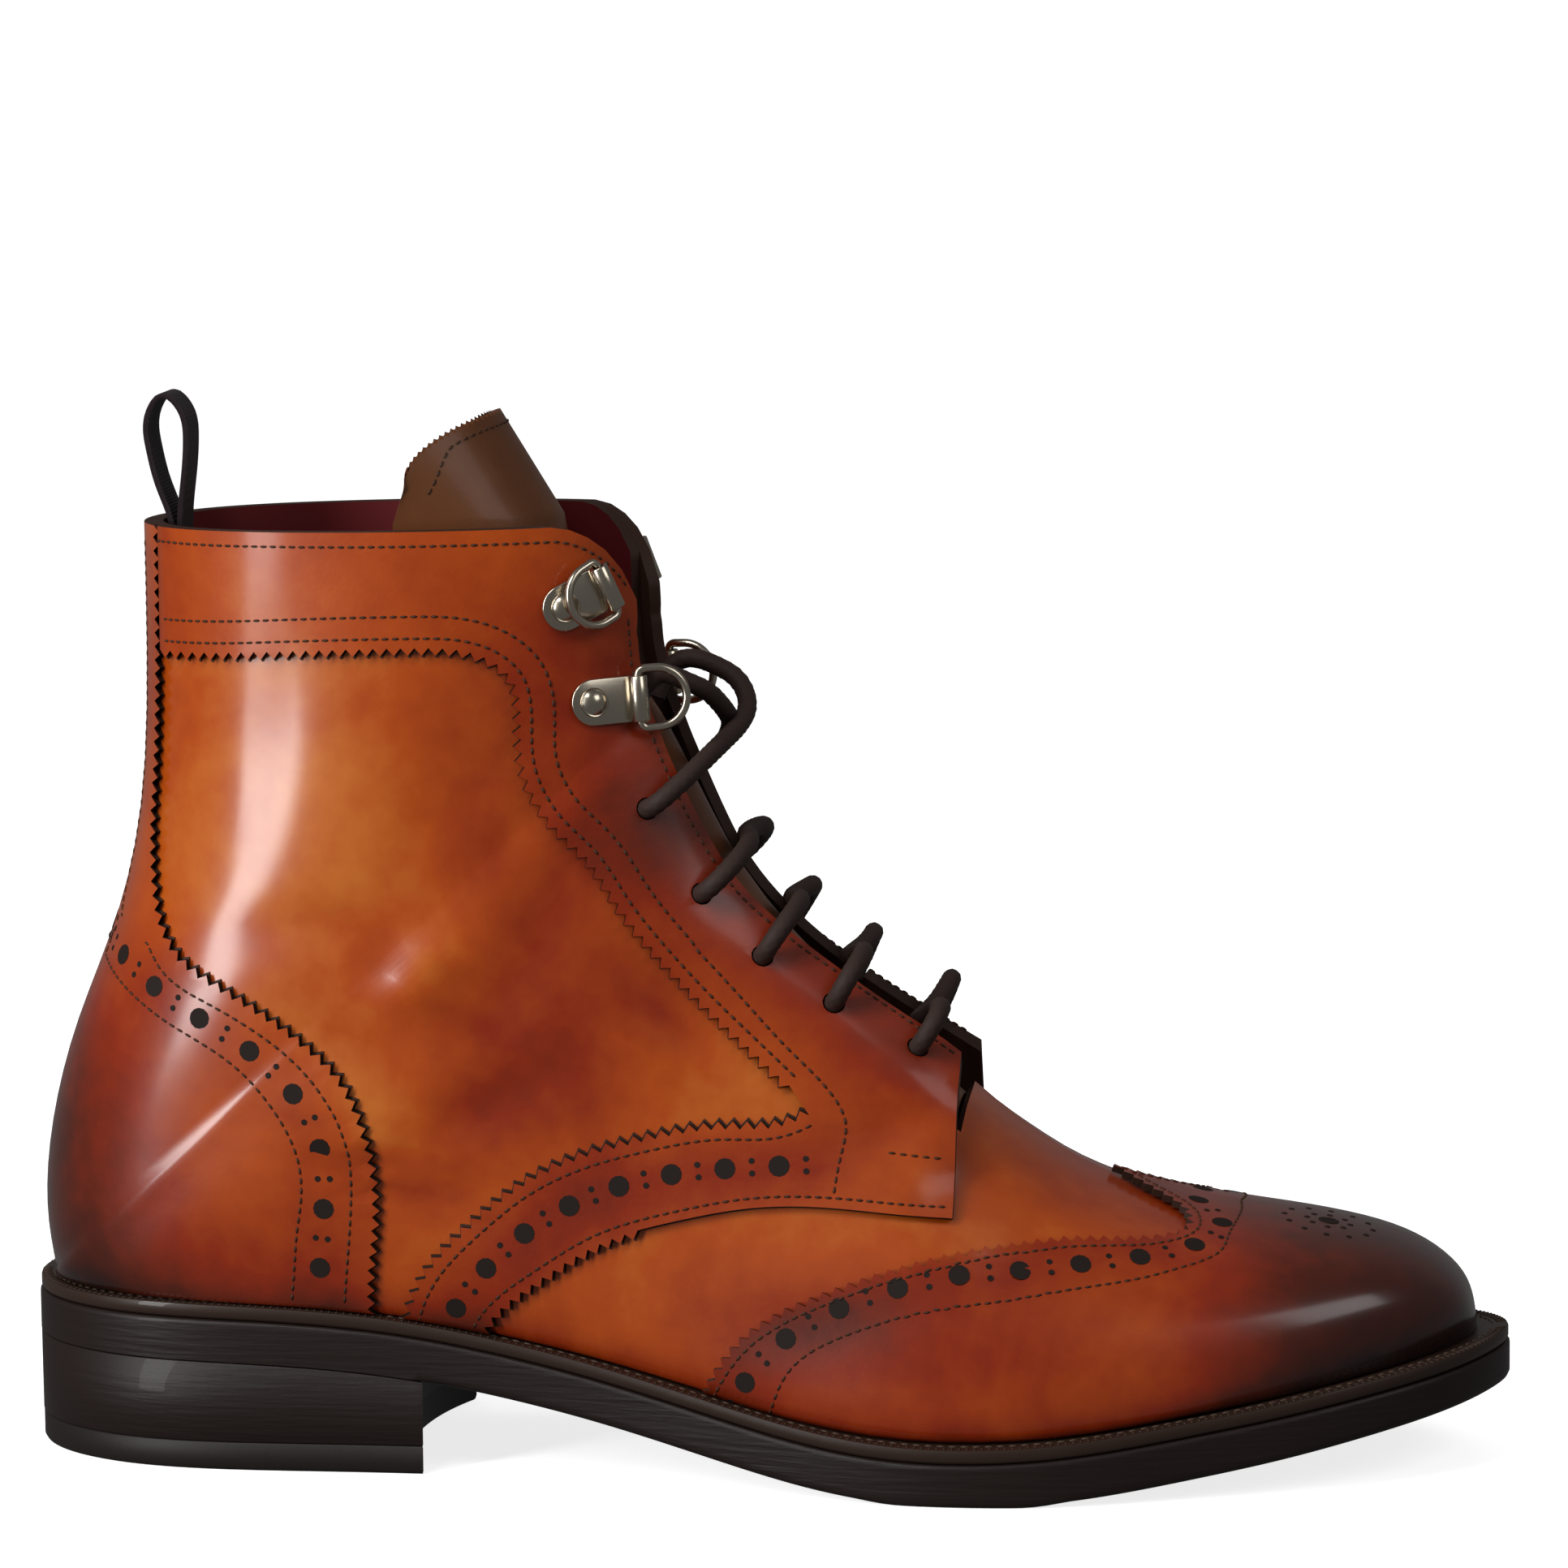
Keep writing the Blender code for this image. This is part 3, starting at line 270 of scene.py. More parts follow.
# Sections of the last from the toe tip to the collar. seat_z 0 means that the
# section ends on the welt; the others close at the back of the heel and shaft.
# w30 to w150 are the share of the half width reached at that turn.
SECTIONS = read_table("""
 top_x  top_z  seat_x seat_z ridge_y lateral medial  w30   w60   w90  w120  w150
 258.3   25.5   258.3    0     5.0     0.0    0.0   0.55  0.87  0.98  1.00  1.00
 257.5   31.2   256.2    0     5.0     8.4    7.8   0.55  0.87  0.98  1.00  1.00
 255.0   36.2   251.6    0     5.2    16.6   14.9   0.54  0.86  0.98  1.00  1.00
 248.5   41.2   244.4    0     5.5    24.8   21.3   0.52  0.85  0.97  1.00  1.00
 238.0   45.0   233.5    0     5.9    33.2   28.2   0.49  0.81  0.96  1.00  1.00
 222.0   47.9   218.5    0     6.0    40.6   34.6   0.46  0.77  0.94  1.00  1.00
 203.0   50.9   200.5    0     5.8    47.4   39.4   0.43  0.72  0.91  0.99  1.00
 186.0   56.5   183.5    0     5.2    51.2   42.4   0.40  0.68  0.89  0.99  1.00
 171.0   64.8   167.0    0     4.4    52.8   43.4   0.38  0.65  0.87  0.98  1.00
 157.5   75.4   150.0    0     3.5    51.9   41.7   0.37  0.64  0.86  0.97  1.00
 146.0   85.8   134.0    0     2.6    48.4   38.0   0.38  0.66  0.86  0.97  1.00
 134.0   97.4   114.0    0     1.8    43.2   33.8   0.41  0.70  0.88  0.98  1.00
 122.5  109.6    90.0    0     1.2    38.6   31.2   0.45  0.75  0.92  1.00  1.00
 113.5  121.4    60.0    0     0.7    36.3   31.7   0.48  0.79  0.95  1.01  0.98
 107.5  132.6    28.0    0     0.3    36.1   33.9   0.50  0.82  0.97  1.00  0.95
 103.5  142.2     2.0    0     0.1    35.9   35.1   0.52  0.85  0.99  0.99  0.91
 100.8  150.0   -16.0    0     0.0    35.6   35.2   0.53  0.87  1.00  0.96  0.85
  99.0  155.6   -27.0    0     0.0    35.2   35.0   0.54  0.88  1.00  0.93  0.76
  97.8  159.6   -32.0   35.3   0.0    34.9   34.7   0.54  0.88  1.00  0.91  0.67
  96.7  163.8   -33.9   48.5   0.0    34.5   34.4   0.55  0.89  1.00  0.90  0.61
  95.7  168.4   -32.4   66.0   0.0    34.1   34.0   0.55  0.89  1.00  0.89  0.57
  94.8  173.4   -26.6   87.0   0.0    33.7   33.6   0.56  0.90  1.00  0.88  0.55
  93.9  179.2   -17.6  110.0   0.0    33.4   33.3   0.56  0.90  1.00  0.88  0.54
  93.0  185.6   -11.2  142.0   0.0    33.2   33.1   0.57  0.90  1.00  0.88  0.54
  92.0  192.6   -10.2  191.2   0.0    33.0   33.0   0.58  0.91  1.00  0.88  0.54
""")
ROWS = np.arange(len(SECTIONS["top_x"]))
HEEL_ROW = int(np.argmax(SECTIONS["seat_z"] > 0))
TURN_KNOTS = np.arange(0, 181, 30)


def around(x):
    """Evenly rounded measure of x: 0 at the toe tip, 1 at the heel's back."""
    share = 2 * (np.asarray(x, dtype=float) - HEEL_X) / (TOE_X - HEEL_X) - 1
    return np.arccos(np.clip(share, -1, 1)) / np.pi


def x_around(share):
    """The x that lies at a share of the way round from toe to heel."""
    return HEEL_X + (TOE_X - HEEL_X) * (1 + np.cos(np.pi * np.clip(share, 0, 1))) / 2


feather_curve = {
    LATERAL: natural_spline(around(FEATHER["x"]), FEATHER["lateral"]),
    MEDIAL: natural_spline(around(FEATHER["x"]), FEATHER["medial"]),
}
welt_curve = natural_spline(SOLE_SIDE["x"], SOLE_SIDE["top"])
thick_curve = natural_spline(SOLE_SIDE["x"], SOLE_SIDE["thick"])
SECTIONS["top_z"][0] = welt_curve(TOE_X) + GAP      # the toe tip lies on the welt
section = {name: natural_spline(ROWS, values) for name, values in SECTIONS.items()}
seat_share = natural_spline(ROWS[:HEEL_ROW + 1], around(SECTIONS["seat_x"][:HEEL_ROW + 1]))
seat_x_back = natural_spline(ROWS[HEEL_ROW:], SECTIONS["seat_x"][HEEL_ROW:])
seat_z_back = natural_spline(ROWS[HEEL_ROW:], SECTIONS["seat_z"][HEEL_ROW:])
turn_share = [natural_spline(TURN_KNOTS, unit) for unit in np.eye(len(TURN_KNOTS))]


def welt_top(x):
    """Height of the welt's upper face."""
    return welt_curve(x)


def sole_bottom(x):
    """Height of the outsole's lower face, flat on the floor at the ball."""
    height = np.maximum(welt_curve(x) - thick_curve(x), 0)
    return height * (1 - smooth_step(x, FLAT_FROM - 12, FLAT_FROM)
                     * (1 - smooth_step(x, FLAT_TO, FLAT_TO + 12)))


def seat(row):
    """Lower end of a section in the side view."""
    front_x = x_around(seat_share(np.minimum(row, HEEL_ROW)))
    on_welt = row < HEEL_ROW
    x = np.where(on_welt, front_x, seat_x_back(np.maximum(row, HEEL_ROW)))
    z = np.where(on_welt, welt_top(front_x) + GAP, seat_z_back(np.maximum(row, HEEL_ROW)))
    return x, z


def half_width(row, turn, side):
    """Distance of the skin from the ridge's plane."""
    full = section[SIDE_NAMES[side]](row)
    share = np.clip(seat_share(np.minimum(row, HEEL_ROW)), 0, 1)
    at_seat = side * (feather_curve[side](share) - section["ridge_y"](row))
    width = turn_share[-1](turn) * np.where(row < HEEL_ROW, at_seat, 0)
    for part_of, name in zip(turn_share[1:-1], ("w30", "w60", "w90", "w120", "w150")):
        width = width + part_of(turn) * section[name](row) * full
    return np.maximum(width, 0)


def skin(row, turn, side):
    """Points on the outside of the upper."""
    row, turn = np.broadcast_arrays(np.asarray(row, float), np.asarray(turn, float))
    top_x, top_z = section["top_x"](row), section["top_z"](row)
    seat_x, seat_z = seat(row)
    down = (1 - np.cos(np.radians(turn))) / 2
    y = section["ridge_y"](row) + side * half_width(row, turn, side)
    return np.stack([top_x + (seat_x - top_x) * down, y, top_z + (seat_z - top_z) * down], -1)


def turn_at_width(row, width, side):
    """Turn, near the ridge, at which a section has reached a half width."""
    turns = np.linspace(0, 80, 161)
    widths = half_width(np.full_like(turns, row), turns, side)
    return float(np.interp(width, widths, turns))


def unit(vectors):
    """The same directions at length one."""
    return vectors / np.linalg.norm(vectors, axis=-1, keepdims=True)


def skin_normal(row, turn, side, surface=skin):
    """Outward unit normals of the upper, or of another function of row and turn."""
    ahead = surface(row + 0.02, turn, side) - surface(row - 0.02, turn, side)
    down = surface(row, turn + 0.5, side) - surface(row, turn - 0.5, side)
    return unit(-side * np.cross(ahead, down))


def upper_gap_half(row):
    """Half the throat in the upper's own wall, wider on the vamp."""
    return VAMP_GAP_HALF + (UPPER_GAP_HALF - VAMP_GAP_HALF) * smooth_step(row, THROAT_ROW, 13)


def facing_lift(row, turn):
    """How far the facings stand off the vamp, most at their front corner."""
    share = (1 - smooth_step(turn, 24, 62)) * (1 - smooth_step(row, 9.6, 13.6))
    return FACING_LIFT * share


# Turns between which the collar's front corner is rounded, and by how many rows
CORNER_TURN, CORNER_EDGE_TURN, CORNER_ROWS = 48.0, 24.0, 2.0


def collar_drop(row, turn):
    """Rows by which the collar's front corners are rounded off."""
    reach = np.clip((CORNER_TURN - turn) / (CORNER_TURN - CORNER_EDGE_TURN), 0, 1)
    return CORNER_ROWS * (1 - np.sqrt(1 - reach ** 2)) * smooth_step(row, 20, COLLAR_ROW)


def skin_columns(row, side):
    """Turns of the mesh columns: ridge, facing edge, upper edge, then the rest."""
    at = max(row, THROAT_ROW)
    facing_edge = turn_at_width(at, FACING_GAP_HALF, side)
    upper_edge = turn_at_width(at, upper_gap_half(at), side)
    rest = np.linspace(upper_edge, 180, SKIN_COLUMNS + 1)
    return np.concatenate([[0.0, facing_edge], rest])


def add_sheet(mesh, grid, flip, starts=None):
    """Triangles over a grid of points; returns the grid's vertices. All sheets
    split their quads the same way, so that two layers lie parallel. starts is
    the first column that each strip of the grid fills."""
    verts = [[mesh.verts.new(point) for point in line] for line in grid]
    for i in range(len(verts) - 1):
        for j in range(starts[i] if starts else 0, len(verts[0]) - 1):
            a, b = verts[i][j], verts[i + 1][j]
            c, d = verts[i + 1][j + 1], verts[i][j + 1]
            for corner in ((a, b, c), (a, c, d)):
                mesh.faces.new(corner[::-1] if flip else corner)
    return verts


def skin_sheet(rows, first_column, sides=(LATERAL, MEDIAL)):
    """Sheet on the outside of the upper, from a mesh column down. Each vertex
    keeps its row and its turn."""
    mesh = bmesh.new()
    row_layer = mesh.verts.layers.float.new("row")
    turn_layer = mesh.verts.layers.float.new("turn")
    for side in sides:
        columns = [skin_columns(row, side) for row in rows]
        joined = len(sides) == 2
        starts = [0 if joined and row < THROAT_ROW else first_column for row in rows]
        levels = [row - collar_drop(row, turns) for row, turns in zip(rows, columns)]
        grid = [skin(level, turns, side) for level, turns in zip(levels, columns)]
        verts = add_sheet(mesh, grid, side == MEDIAL, starts)
        for line, level, turns in zip(verts, levels, columns):
            for vert, row, turn in zip(line, level, turns):
                vert[row_layer] = row
                vert[turn_layer] = turn
    close_sheet(mesh)
    return mesh


def close_sheet(mesh):
    """Merge the points that fall together and drop the faces that vanish."""
    bmesh.ops.remove_doubles(mesh, verts=mesh.verts, dist=0.002)
    bmesh.ops.dissolve_degenerate(mesh, edges=mesh.edges, dist=0.002)
    loose = [vert for vert in mesh.verts if not vert.link_faces]
    bmesh.ops.delete(mesh, geom=loose, context='VERTS')
    mesh.verts.index_update()
    mesh.normal_update()


def thicken(mesh, low, high):
    """Closed wall between two offsets of a sheet, each a number or a function
    of row and turn. Near the welt the wall is offset level."""
    row_layer = mesh.verts.layers.float.get("row")
    turn_layer = mesh.verts.layers.float.get("turn")
    offsets = []
    for vert in mesh.verts:
        normal = vert.normal.copy()
        height = vert.co.z - welt_top(vert.co.x)
        normal.z *= float(smooth_step(height, 2 * GAP, LEVEL_HEIGHT))
        normal.normalize()
        place = (vert[row_layer], vert[turn_layer]) if row_layer else ()
        low_here = float(low(*place)) if callable(low) else low
        high_here = float(high(*place)) if callable(high) else high
        offsets.append((vert.co + normal * low_here, vert.co + normal * high_here))
    wall = bmesh.new()
    inner = [wall.verts.new(pair[0]) for pair in offsets]
    outer = [wall.verts.new(pair[1]) for pair in offsets]
    mesh.verts.index_update()
    for face in mesh.faces:
        ring = [vert.index for vert in face.verts]
        wall.faces.new([outer[i] for i in ring])
        wall.faces.new([inner[i] for i in reversed(ring)])
    for edge in mesh.edges:
        if edge.is_boundary:
            loop = edge.link_loops[0]
            a, b = loop.vert.index, loop.link_loop_next.vert.index
            wall.faces.new([outer[b], outer[a], inner[a], inner[b]])
    mesh.free()
    return wall


# Eyelet holes of each facing, foot of the throat first, then the two rivets of
# the ring clips with the lean of each clip towards the collar
EYELETS = read_table("""
   row  turn
 10.10  32.0
 11.25  36.0
 12.28  38.0
 13.45  37.0
 15.25  34.8
""")
CLIPS = read_table("""
   row  turn  lean
 19.80  37.5   2.0
 22.75  45.2  25.0
""")


FACING_EXTRA = 0.9        # lining that thickens the facings along the throat


def facing_underside(row, turn):
    """Height of a facing's inner face above the upper."""
    return GAP + facing_lift(row, turn)


def facing_top(row, turn):
    """Height of a facing's outer face above the upper."""
    return facing_underside(row, turn) + OVERLAY + FACING_EXTRA * facing_share(turn)


def facing_share(turn):
    """1 along the throat, where a facing is lined, 0 in its strap and strip."""
    return 1 - smooth_step(turn, 40, 64)


# Painted shade in the hollows of the relief and painted highlight on its hills: tone per millimetre of
# relief
CREASE_SHADE_TONE = 0.09


def relief(point):
    """Soft hills and hollows worn into the leather, in millimetres."""
    x, y, z = point
    height = 0.0
    for hill_x, hill_z, lean, high, long, wide in zip(*FOLDS.values()):
        along = (x - hill_x) * math.cos(lean) + (z - hill_z) * math.sin(lean)
        across = -(x - hill_x) * math.sin(lean) + (z - hill_z) * math.cos(lean)
        height += high * math.exp(-(along / long) ** 2 - (across / wide) ** 2)
    return height if y < 0 else 0.7 * height


# Each hill, or hollow if its height is negative: place, lean in radians, height,
# half length and half width
FOLDS = read_table("""
   x    z   lean  height  long  wide
  50  103   0.30    2.2      7   6.0
  60   96  -0.70   -1.0     12   5.0
  41  104  -0.90   -0.9     13   5.0
  47   60  -0.55   -1.7     15   4.0
  41   70  -0.50    1.0     14   5.0
  62   76   0.50   -1.0     16   5.0
  36   88  -0.15   -0.7     14   4.0
 101   93  -0.85   -1.2     12   4.5
  93   88  -0.85    0.9     13   6.0
  24  112   0.20   -0.6     18   5.0
  74  112   1.10   -0.9     22   6.0
 147   76  -0.60    0.9      8   3.5
 139   70   0.30   -0.8      9   4.0
 152   66   0.90    0.8      9   4.0
 168   42   1.20   -0.5     12   5.0
 135   36   0.20   -0.6     20   6.0
 178   58  -0.60   -0.4      9   5.0
  20  150   1.40   -0.5     26   6.0
  55  140   1.30   -0.5     24   8.0
""")


def paint(name, colour, roughness, metallic=0.0, coat=0.0):
    material = bpy.data.materials.new(name)
    material.use_nodes = True
    shader = material.node_tree.nodes["Principled BSDF"]
    shader.inputs["Base Color"].default_value = (*colour, 1)
    shader.inputs["Roughness"].default_value = roughness
    shader.inputs["Metallic"].default_value = metallic
    shader.inputs["Coat Weight"].default_value = coat
    shader.inputs["Specular IOR Level"].default_value = 0.5 if metallic else 0.25
    return material


def add_bump(material, scale, strength, distance, detail=4.0, kind="ShaderNodeTexNoise",
             stretch=(1, 1, 1)):
    """Fine relief in Object coordinates; scale is waves to the metre."""
    tree = material.node_tree
    place = wired(tree, "ShaderNodeTexCoord")
    mapping = wired(tree, "ShaderNodeMapping", {"Scale": stretch},
                    {"Vector": place.outputs["Object"]})
    grain = wired(tree, kind, {"Scale": scale, "Detail": detail},
                  {"Vector": mapping.outputs["Vector"]})
    bump = wired(tree, "ShaderNodeBump", {"Strength": strength, "Distance": distance},
                 {"Height": grain.outputs["Fac"]})
    normal = tree.nodes["Principled BSDF"].inputs["Normal"]
    if normal.is_linked:
        tree.links.new(normal.links[0].from_socket, bump.inputs["Normal"])
    tree.links.new(bump.outputs["Normal"], normal)


COAT_ROUGHNESS, LEATHER_SPECULAR = 0.17, 0.22
CLOUD_SCALE, CLOUD_REACH = 22.0, 0.55       # wide clouds of dye, and how far they shift the tone
FLECK_SCALE, FLECK_REACH = 190.0, 0.16
PATINA = (
    (0.0, (0.60, 0.172, 0.024)), (0.25, (0.43, 0.064, 0.0035)), (0.5, (0.25, 0.019, 0.0012)),
    (0.75, (0.078, 0.009, 0.002)), (1.0, (0.014, 0.004, 0.003)),
)


def patina_leather(name, shift, roughness, coat, grain_strength):
    """Hand-coloured calf: the tone painted on the mesh, clouded by noise, runs from
    tan through orange-brown to nearly black."""
    material = paint(name, (0.4, 0.12, 0.03), roughness, 0.0, coat)
    tree = material.node_tree
    shader = tree.nodes["Principled BSDF"]
    shader.inputs["Coat Roughness"].default_value = COAT_ROUGHNESS
    shader.inputs["Specular IOR Level"].default_value = LEATHER_SPECULAR
    tone = wired(tree, "ShaderNodeAttribute")
    tone.attribute_name = "tone"
    place = wired(tree, "ShaderNodeTexCoord").outputs["Object"]
    cloud = wired(tree, "ShaderNodeTexNoise",
                  {"Scale": CLOUD_SCALE, "Detail": 5.0, "Distortion": 0.6}, {"Vector": place})
    fleck = wired(tree, "ShaderNodeTexNoise", {"Scale": FLECK_SCALE, "Detail": 6.0},
                  {"Vector": place})
    parts = []
    for noise, reach, middle in ((cloud, CLOUD_REACH, shift), (fleck, FLECK_REACH, 0.0)):
        part = wired(tree, "ShaderNodeMath", {1: reach, 2: middle - reach / 2},
                     {0: noise.outputs["Fac"]})
        part.operation = 'MULTIPLY_ADD'
        parts.append(part.outputs[0])
    both = wired(tree, "ShaderNodeMath", (), {0: parts[0], 1: parts[1]})
    total = wired(tree, "ShaderNodeMath", (), {0: both.outputs[0], 1: tone.outputs["Fac"]})
    ramp = wired(tree, "ShaderNodeValToRGB", (), {"Fac": total.outputs[0]})
    while len(ramp.color_ramp.elements) < len(PATINA):
        ramp.color_ramp.elements.new(0.5)
    for element, (where, colour) in zip(ramp.color_ramp.elements, PATINA):
        element.position = where
        element.color = (*colour, 1)
    tree.links.new(ramp.outputs["Color"], shader.inputs["Base Color"])
    add_bump(material, 900, grain_strength, 0.00012, 3.0)
    add_bump(material, 55, 0.10, 0.0009, 3.0)
    return material


calf = patina_leather("polished_calf", 0.0, 0.36, 0.75, 0.16)
calf_cap = patina_leather("polished_cap_calf", 0.02, 0.34, 0.8, 0.16)
calf_facing = patina_leather("grained_facing_calf", 0.05, 0.44, 0.4, 0.34)
cut_edge = paint("cut_edge", (0.035, 0.014, 0.008), 0.6)
lining_calf = paint("burgundy_lining", (0.115, 0.010, 0.012), 0.5)
add_bump(lining_calf, 900, 0.15, 0.0001)


def by_layer(thing, outer, edge, inner):
    """Material numbers of a shell's outer face, rim and inner face."""
    half = len(thing.data.vertices) // 2
    for face in thing.data.polygons:
        count = sum(index < half for index in face.vertices)
        face.material_index = outer if count == 0 else (inner if count == len(face.vertices) else edge)


# Bands in the side view: tone on the line from a to b, fading over a width. The darker bands are
# burnish; the two lighter ones are lighter dye and partly painted highlight, down the shaft under the
# lamp's highlight streak and along the counter's edge.
BURNISH_AND_HIGHLIGHT = read_table("""
 tone    ax   az   bx   bz  wide
 0.16   -20   42   24   38    12
 0.16    66   78   84  128    20
 0.14    46   60   92   96    12
 0.16   106   36  178   28    13
 0.14    60  130   66  160    10
 0.12   160   60  196   50     7
-0.15    22  176   30  120    15
-0.10    18   92   48   70     9
""")
# Darker brown of the facings, from the clips down to the lowest eyelet
THROAT_BURNISH = read_table("""
 tone    ax   az   bx   bz  wide
 0.14    78  172   96  132    12
 0.28   100  128  146   86    12
""")
# Darker band under the holes of the cap, the side strip and the counter
EDGE_BURNISH = read_table("""
 tone    ax   az   bx   bz  wide
 0.16   112   27  150   43     8
 0.16   150   43  192   50     7
 0.16    54   30   78   55     7
 0.16    78   55  128   66     7
0.096    -6   98   27   74     7
0.096    27   74   28   30     7
""")
LEATHER_TONE, TOE_TONE, WELT_TONE, HEEL_TONE = 0.22, 0.66, 0.20, 0.50
WELT_FADE = 5.0           # height over the welt in which its burnish fades


def bands(table, x, z):
    """Tone that each band of a table gives to a place in the side view."""
    tones = []
    for tone, ax, az, bx, bz, wide in zip(*table.values()):
        length = math.hypot(bx - ax, bz - az)
        share = min(max(((x - ax) * (bx - ax) + (z - az) * (bz - az)) / length ** 2, 0), 1)
        off = math.hypot(x - ax - share * (bx - ax), z - az - share * (bz - az))
        tones.append(tone * math.exp(-(off / wide) ** 2))
    return tones


def tone_at(x, y, z, extra):
    """Tone: dark burnish at the toe, along the welt, at the heel's back and the throat, in bands of
    burnish and lighter bands partly of painted highlight, with painted shade in the relief's hollows
    and painted highlight on its hills.
    """
    tone = LEATHER_TONE + extra
    tone += TOE_TONE * float(smooth_step(x, 186, 244))
    tone += WELT_TONE * math.exp(-((z - float(welt_top(x))) / WELT_FADE) ** 2)
    tone += HEEL_TONE * float(smooth_step(-x, -12, 30)) * float(smooth_step(-z, -116, -60))
    # burnish bands, and lighter bands that are partly painted highlight
    tone += sum(bands(BURNISH_AND_HIGHLIGHT, x, z))
    # hollows of the relief darkened and hills lightened: painted shade and painted highlight
    return tone - CREASE_SHADE_TONE * relief((x, y, z))


def hand_over(thing, nodes=(), body="boot"):
    """Give a finished piece to the frame: its body and what it replaces."""
    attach(thing, body)
    if nodes:
        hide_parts(*nodes)


def dress(thing, node_names, extra=0.0, throat=0.0):
    """Paint the tones on a finished piece and hand it to the frame."""
    tones = thing.data.attributes.new("tone", 'FLOAT', 'POINT')
    places = [vert.co / MM for vert in thing.data.vertices]
    tones.data.foreach_set("value", [
        tone_at(*place, extra) + throat * max(bands(THROAT_BURNISH, place.x, place.z))
        + (max(bands(EDGE_BURNISH, place.x, place.z)) if extra else 0) for place in places])
    hand_over(thing, node_names)
    return thing


def solid(name, mesh, materials, smooth_angle=0.7):
    """An object in metres from a mesh in millimetres."""
    bmesh.ops.scale(mesh, vec=(MM, MM, MM), verts=mesh.verts)
    data = bpy.data.meshes.new(name)
    mesh.to_mesh(data)
    mesh.free()
    for material in materials:
        data.materials.append(material)
    data.shade_smooth()
    data.set_sharp_from_angle(angle=smooth_angle)
    thing = bpy.data.objects.new(name, data)
    bpy.context.collection.objects.link(thing)
    return thing


def worn_sheet(rows, first_column, sides=(LATERAL, MEDIAL)):
    """Sheet on the outside of the upper with the relief in it."""
    mesh = skin_sheet(rows, first_column, sides)
    fold_sheet(mesh)
    return mesh


def fold_sheet(mesh):
    """Move a sheet by the relief along its normals."""
    mesh.normal_update()
    moves = [(vert, vert.normal * relief(vert.co)) for vert in mesh.verts]
    for vert, move in moves:
        vert.co += move
    mesh.normal_update()


upper_rows = np.arange(0, COLLAR_ROW + 0.01, 0.25)
wall = thicken(worn_sheet(upper_rows, 2), -WALL, 0)
upper = solid("upper_leather", wall, [calf, cut_edge, lining_calf], 0.9)
by_layer(upper, 0, 1, 2)
dress(upper, ["upper"])


# Wing cap: calf cut with a toothed back edge, laid over the vamp and stitched

# Back edge of the wing cap: section row reached at each turn from the ridge
WING_EDGE = read_table("""
  turn    row
   0.0   7.10
   6.0   6.75
  14.0   6.30
  24.0   6.08
  33.0   6.10
  45.0   6.60
  53.0   7.20
  63.0   7.83
  73.5   8.43
  84.0   9.05
  95.0   9.73
 106.0  10.30
 118.0  10.78
 130.0  11.08
 145.0  11.25
 162.0  11.32
 180.0  11.32
""")

TOOTH_PITCH = 2.8
TOOTH_DEPTH = 1.6
CAP_STEPS = 26

wing_edge = natural_spline(WING_EDGE["turn"], WING_EDGE["row"])


def beside(rows, turns, side, distance):
    """A line that runs from ridge to welt, moved towards the toe by a distance."""
    here = skin(rows, turns, side)
    ahead = (skin(rows - 0.02, turns, side) - here) / 0.02
    down = (skin(rows, turns + 0.5, side) - skin(rows, turns - 0.5, side))
    run = np.gradient(here, axis=0)
    normal = skin_normal(rows, np.maximum(turns, 0.6), side)
    across = side * np.cross(run, normal)
    across /= np.linalg.norm(across, axis=1, keepdims=True) + 1e-9
    new_rows, new_turns = [], []
    for row, turn, a, b, c in zip(rows, turns, ahead, down, across):
        share, *_ = np.linalg.lstsq(np.stack([a, b], -1), c * distance, rcond=None)
        new_rows.append(row - share[0])
        new_turns.append(turn + share[1])
    return np.array(new_rows), np.clip(np.array(new_turns), 0, 180)


def run_length(points):
    """Length from the first point to each one."""
    steps = np.linalg.norm(np.diff(points, axis=0), axis=1)
    return np.concatenate([[0], np.cumsum(steps)])


def wing_line(side):
    """Turns at an even pitch of half a tooth along the wing edge."""
    turns = np.linspace(0, 180, 721)
    length = run_length(skin(wing_edge(turns), turns, side))
    count = 2 * int(round(length[-1] / TOOTH_PITCH))
    return np.interp(np.linspace(0, length[-1], count + 1), length, turns)


sheet = bmesh.new()
for side in (LATERAL, MEDIAL):
    turns = wing_line(side)
    root_rows, root_turns = beside(wing_edge(turns[::2]), turns[::2], side, TOOTH_DEPTH)
    root_turns[0], root_turns[-1] = 0, 180
    grid = [skin(root_rows * share, root_turns, side) for share in np.linspace(0, 1, CAP_STEPS + 1)]
    roots = add_sheet(sheet, grid, side == MEDIAL)[-1]
    for a, b, point in zip(roots, roots[1:], skin(wing_edge(turns[1::2]), turns[1::2], side)):
        corners = (a, sheet.verts.new(point), b)
        sheet.faces.new(corners[::-1] if side == MEDIAL else corners)
close_sheet(sheet)
fold_sheet(sheet)
cap = solid("wing_cap_leather", thicken(sheet, GAP, GAP + OVERLAY), [calf_cap, cut_edge], 0.9)
by_layer(cap, 0, 1, 0)
dress(cap, ["wing_cap"], 0.04)


# Heel counter with its back strap, and the facings with collar strap and side
# strip: calf cut with toothed edges, laid over the quarters

COUNTER_EDGE = read_table("""
    x      z
  37.5   20.0
  37.5   33.0
  38.2   43.4
  39.3   53.0
  38.8   63.0
  37.0   71.6
  32.5   81.0
  25.0   88.0
  16.4   94.0
   6.2   99.6
  -1.3  104.4
  -5.4  110.0
  -8.2  120.0
  -9.0  130.0
  -8.5  142.0
  -7.8  160.0
  -7.4  180.0
  -7.4  200.0
""")

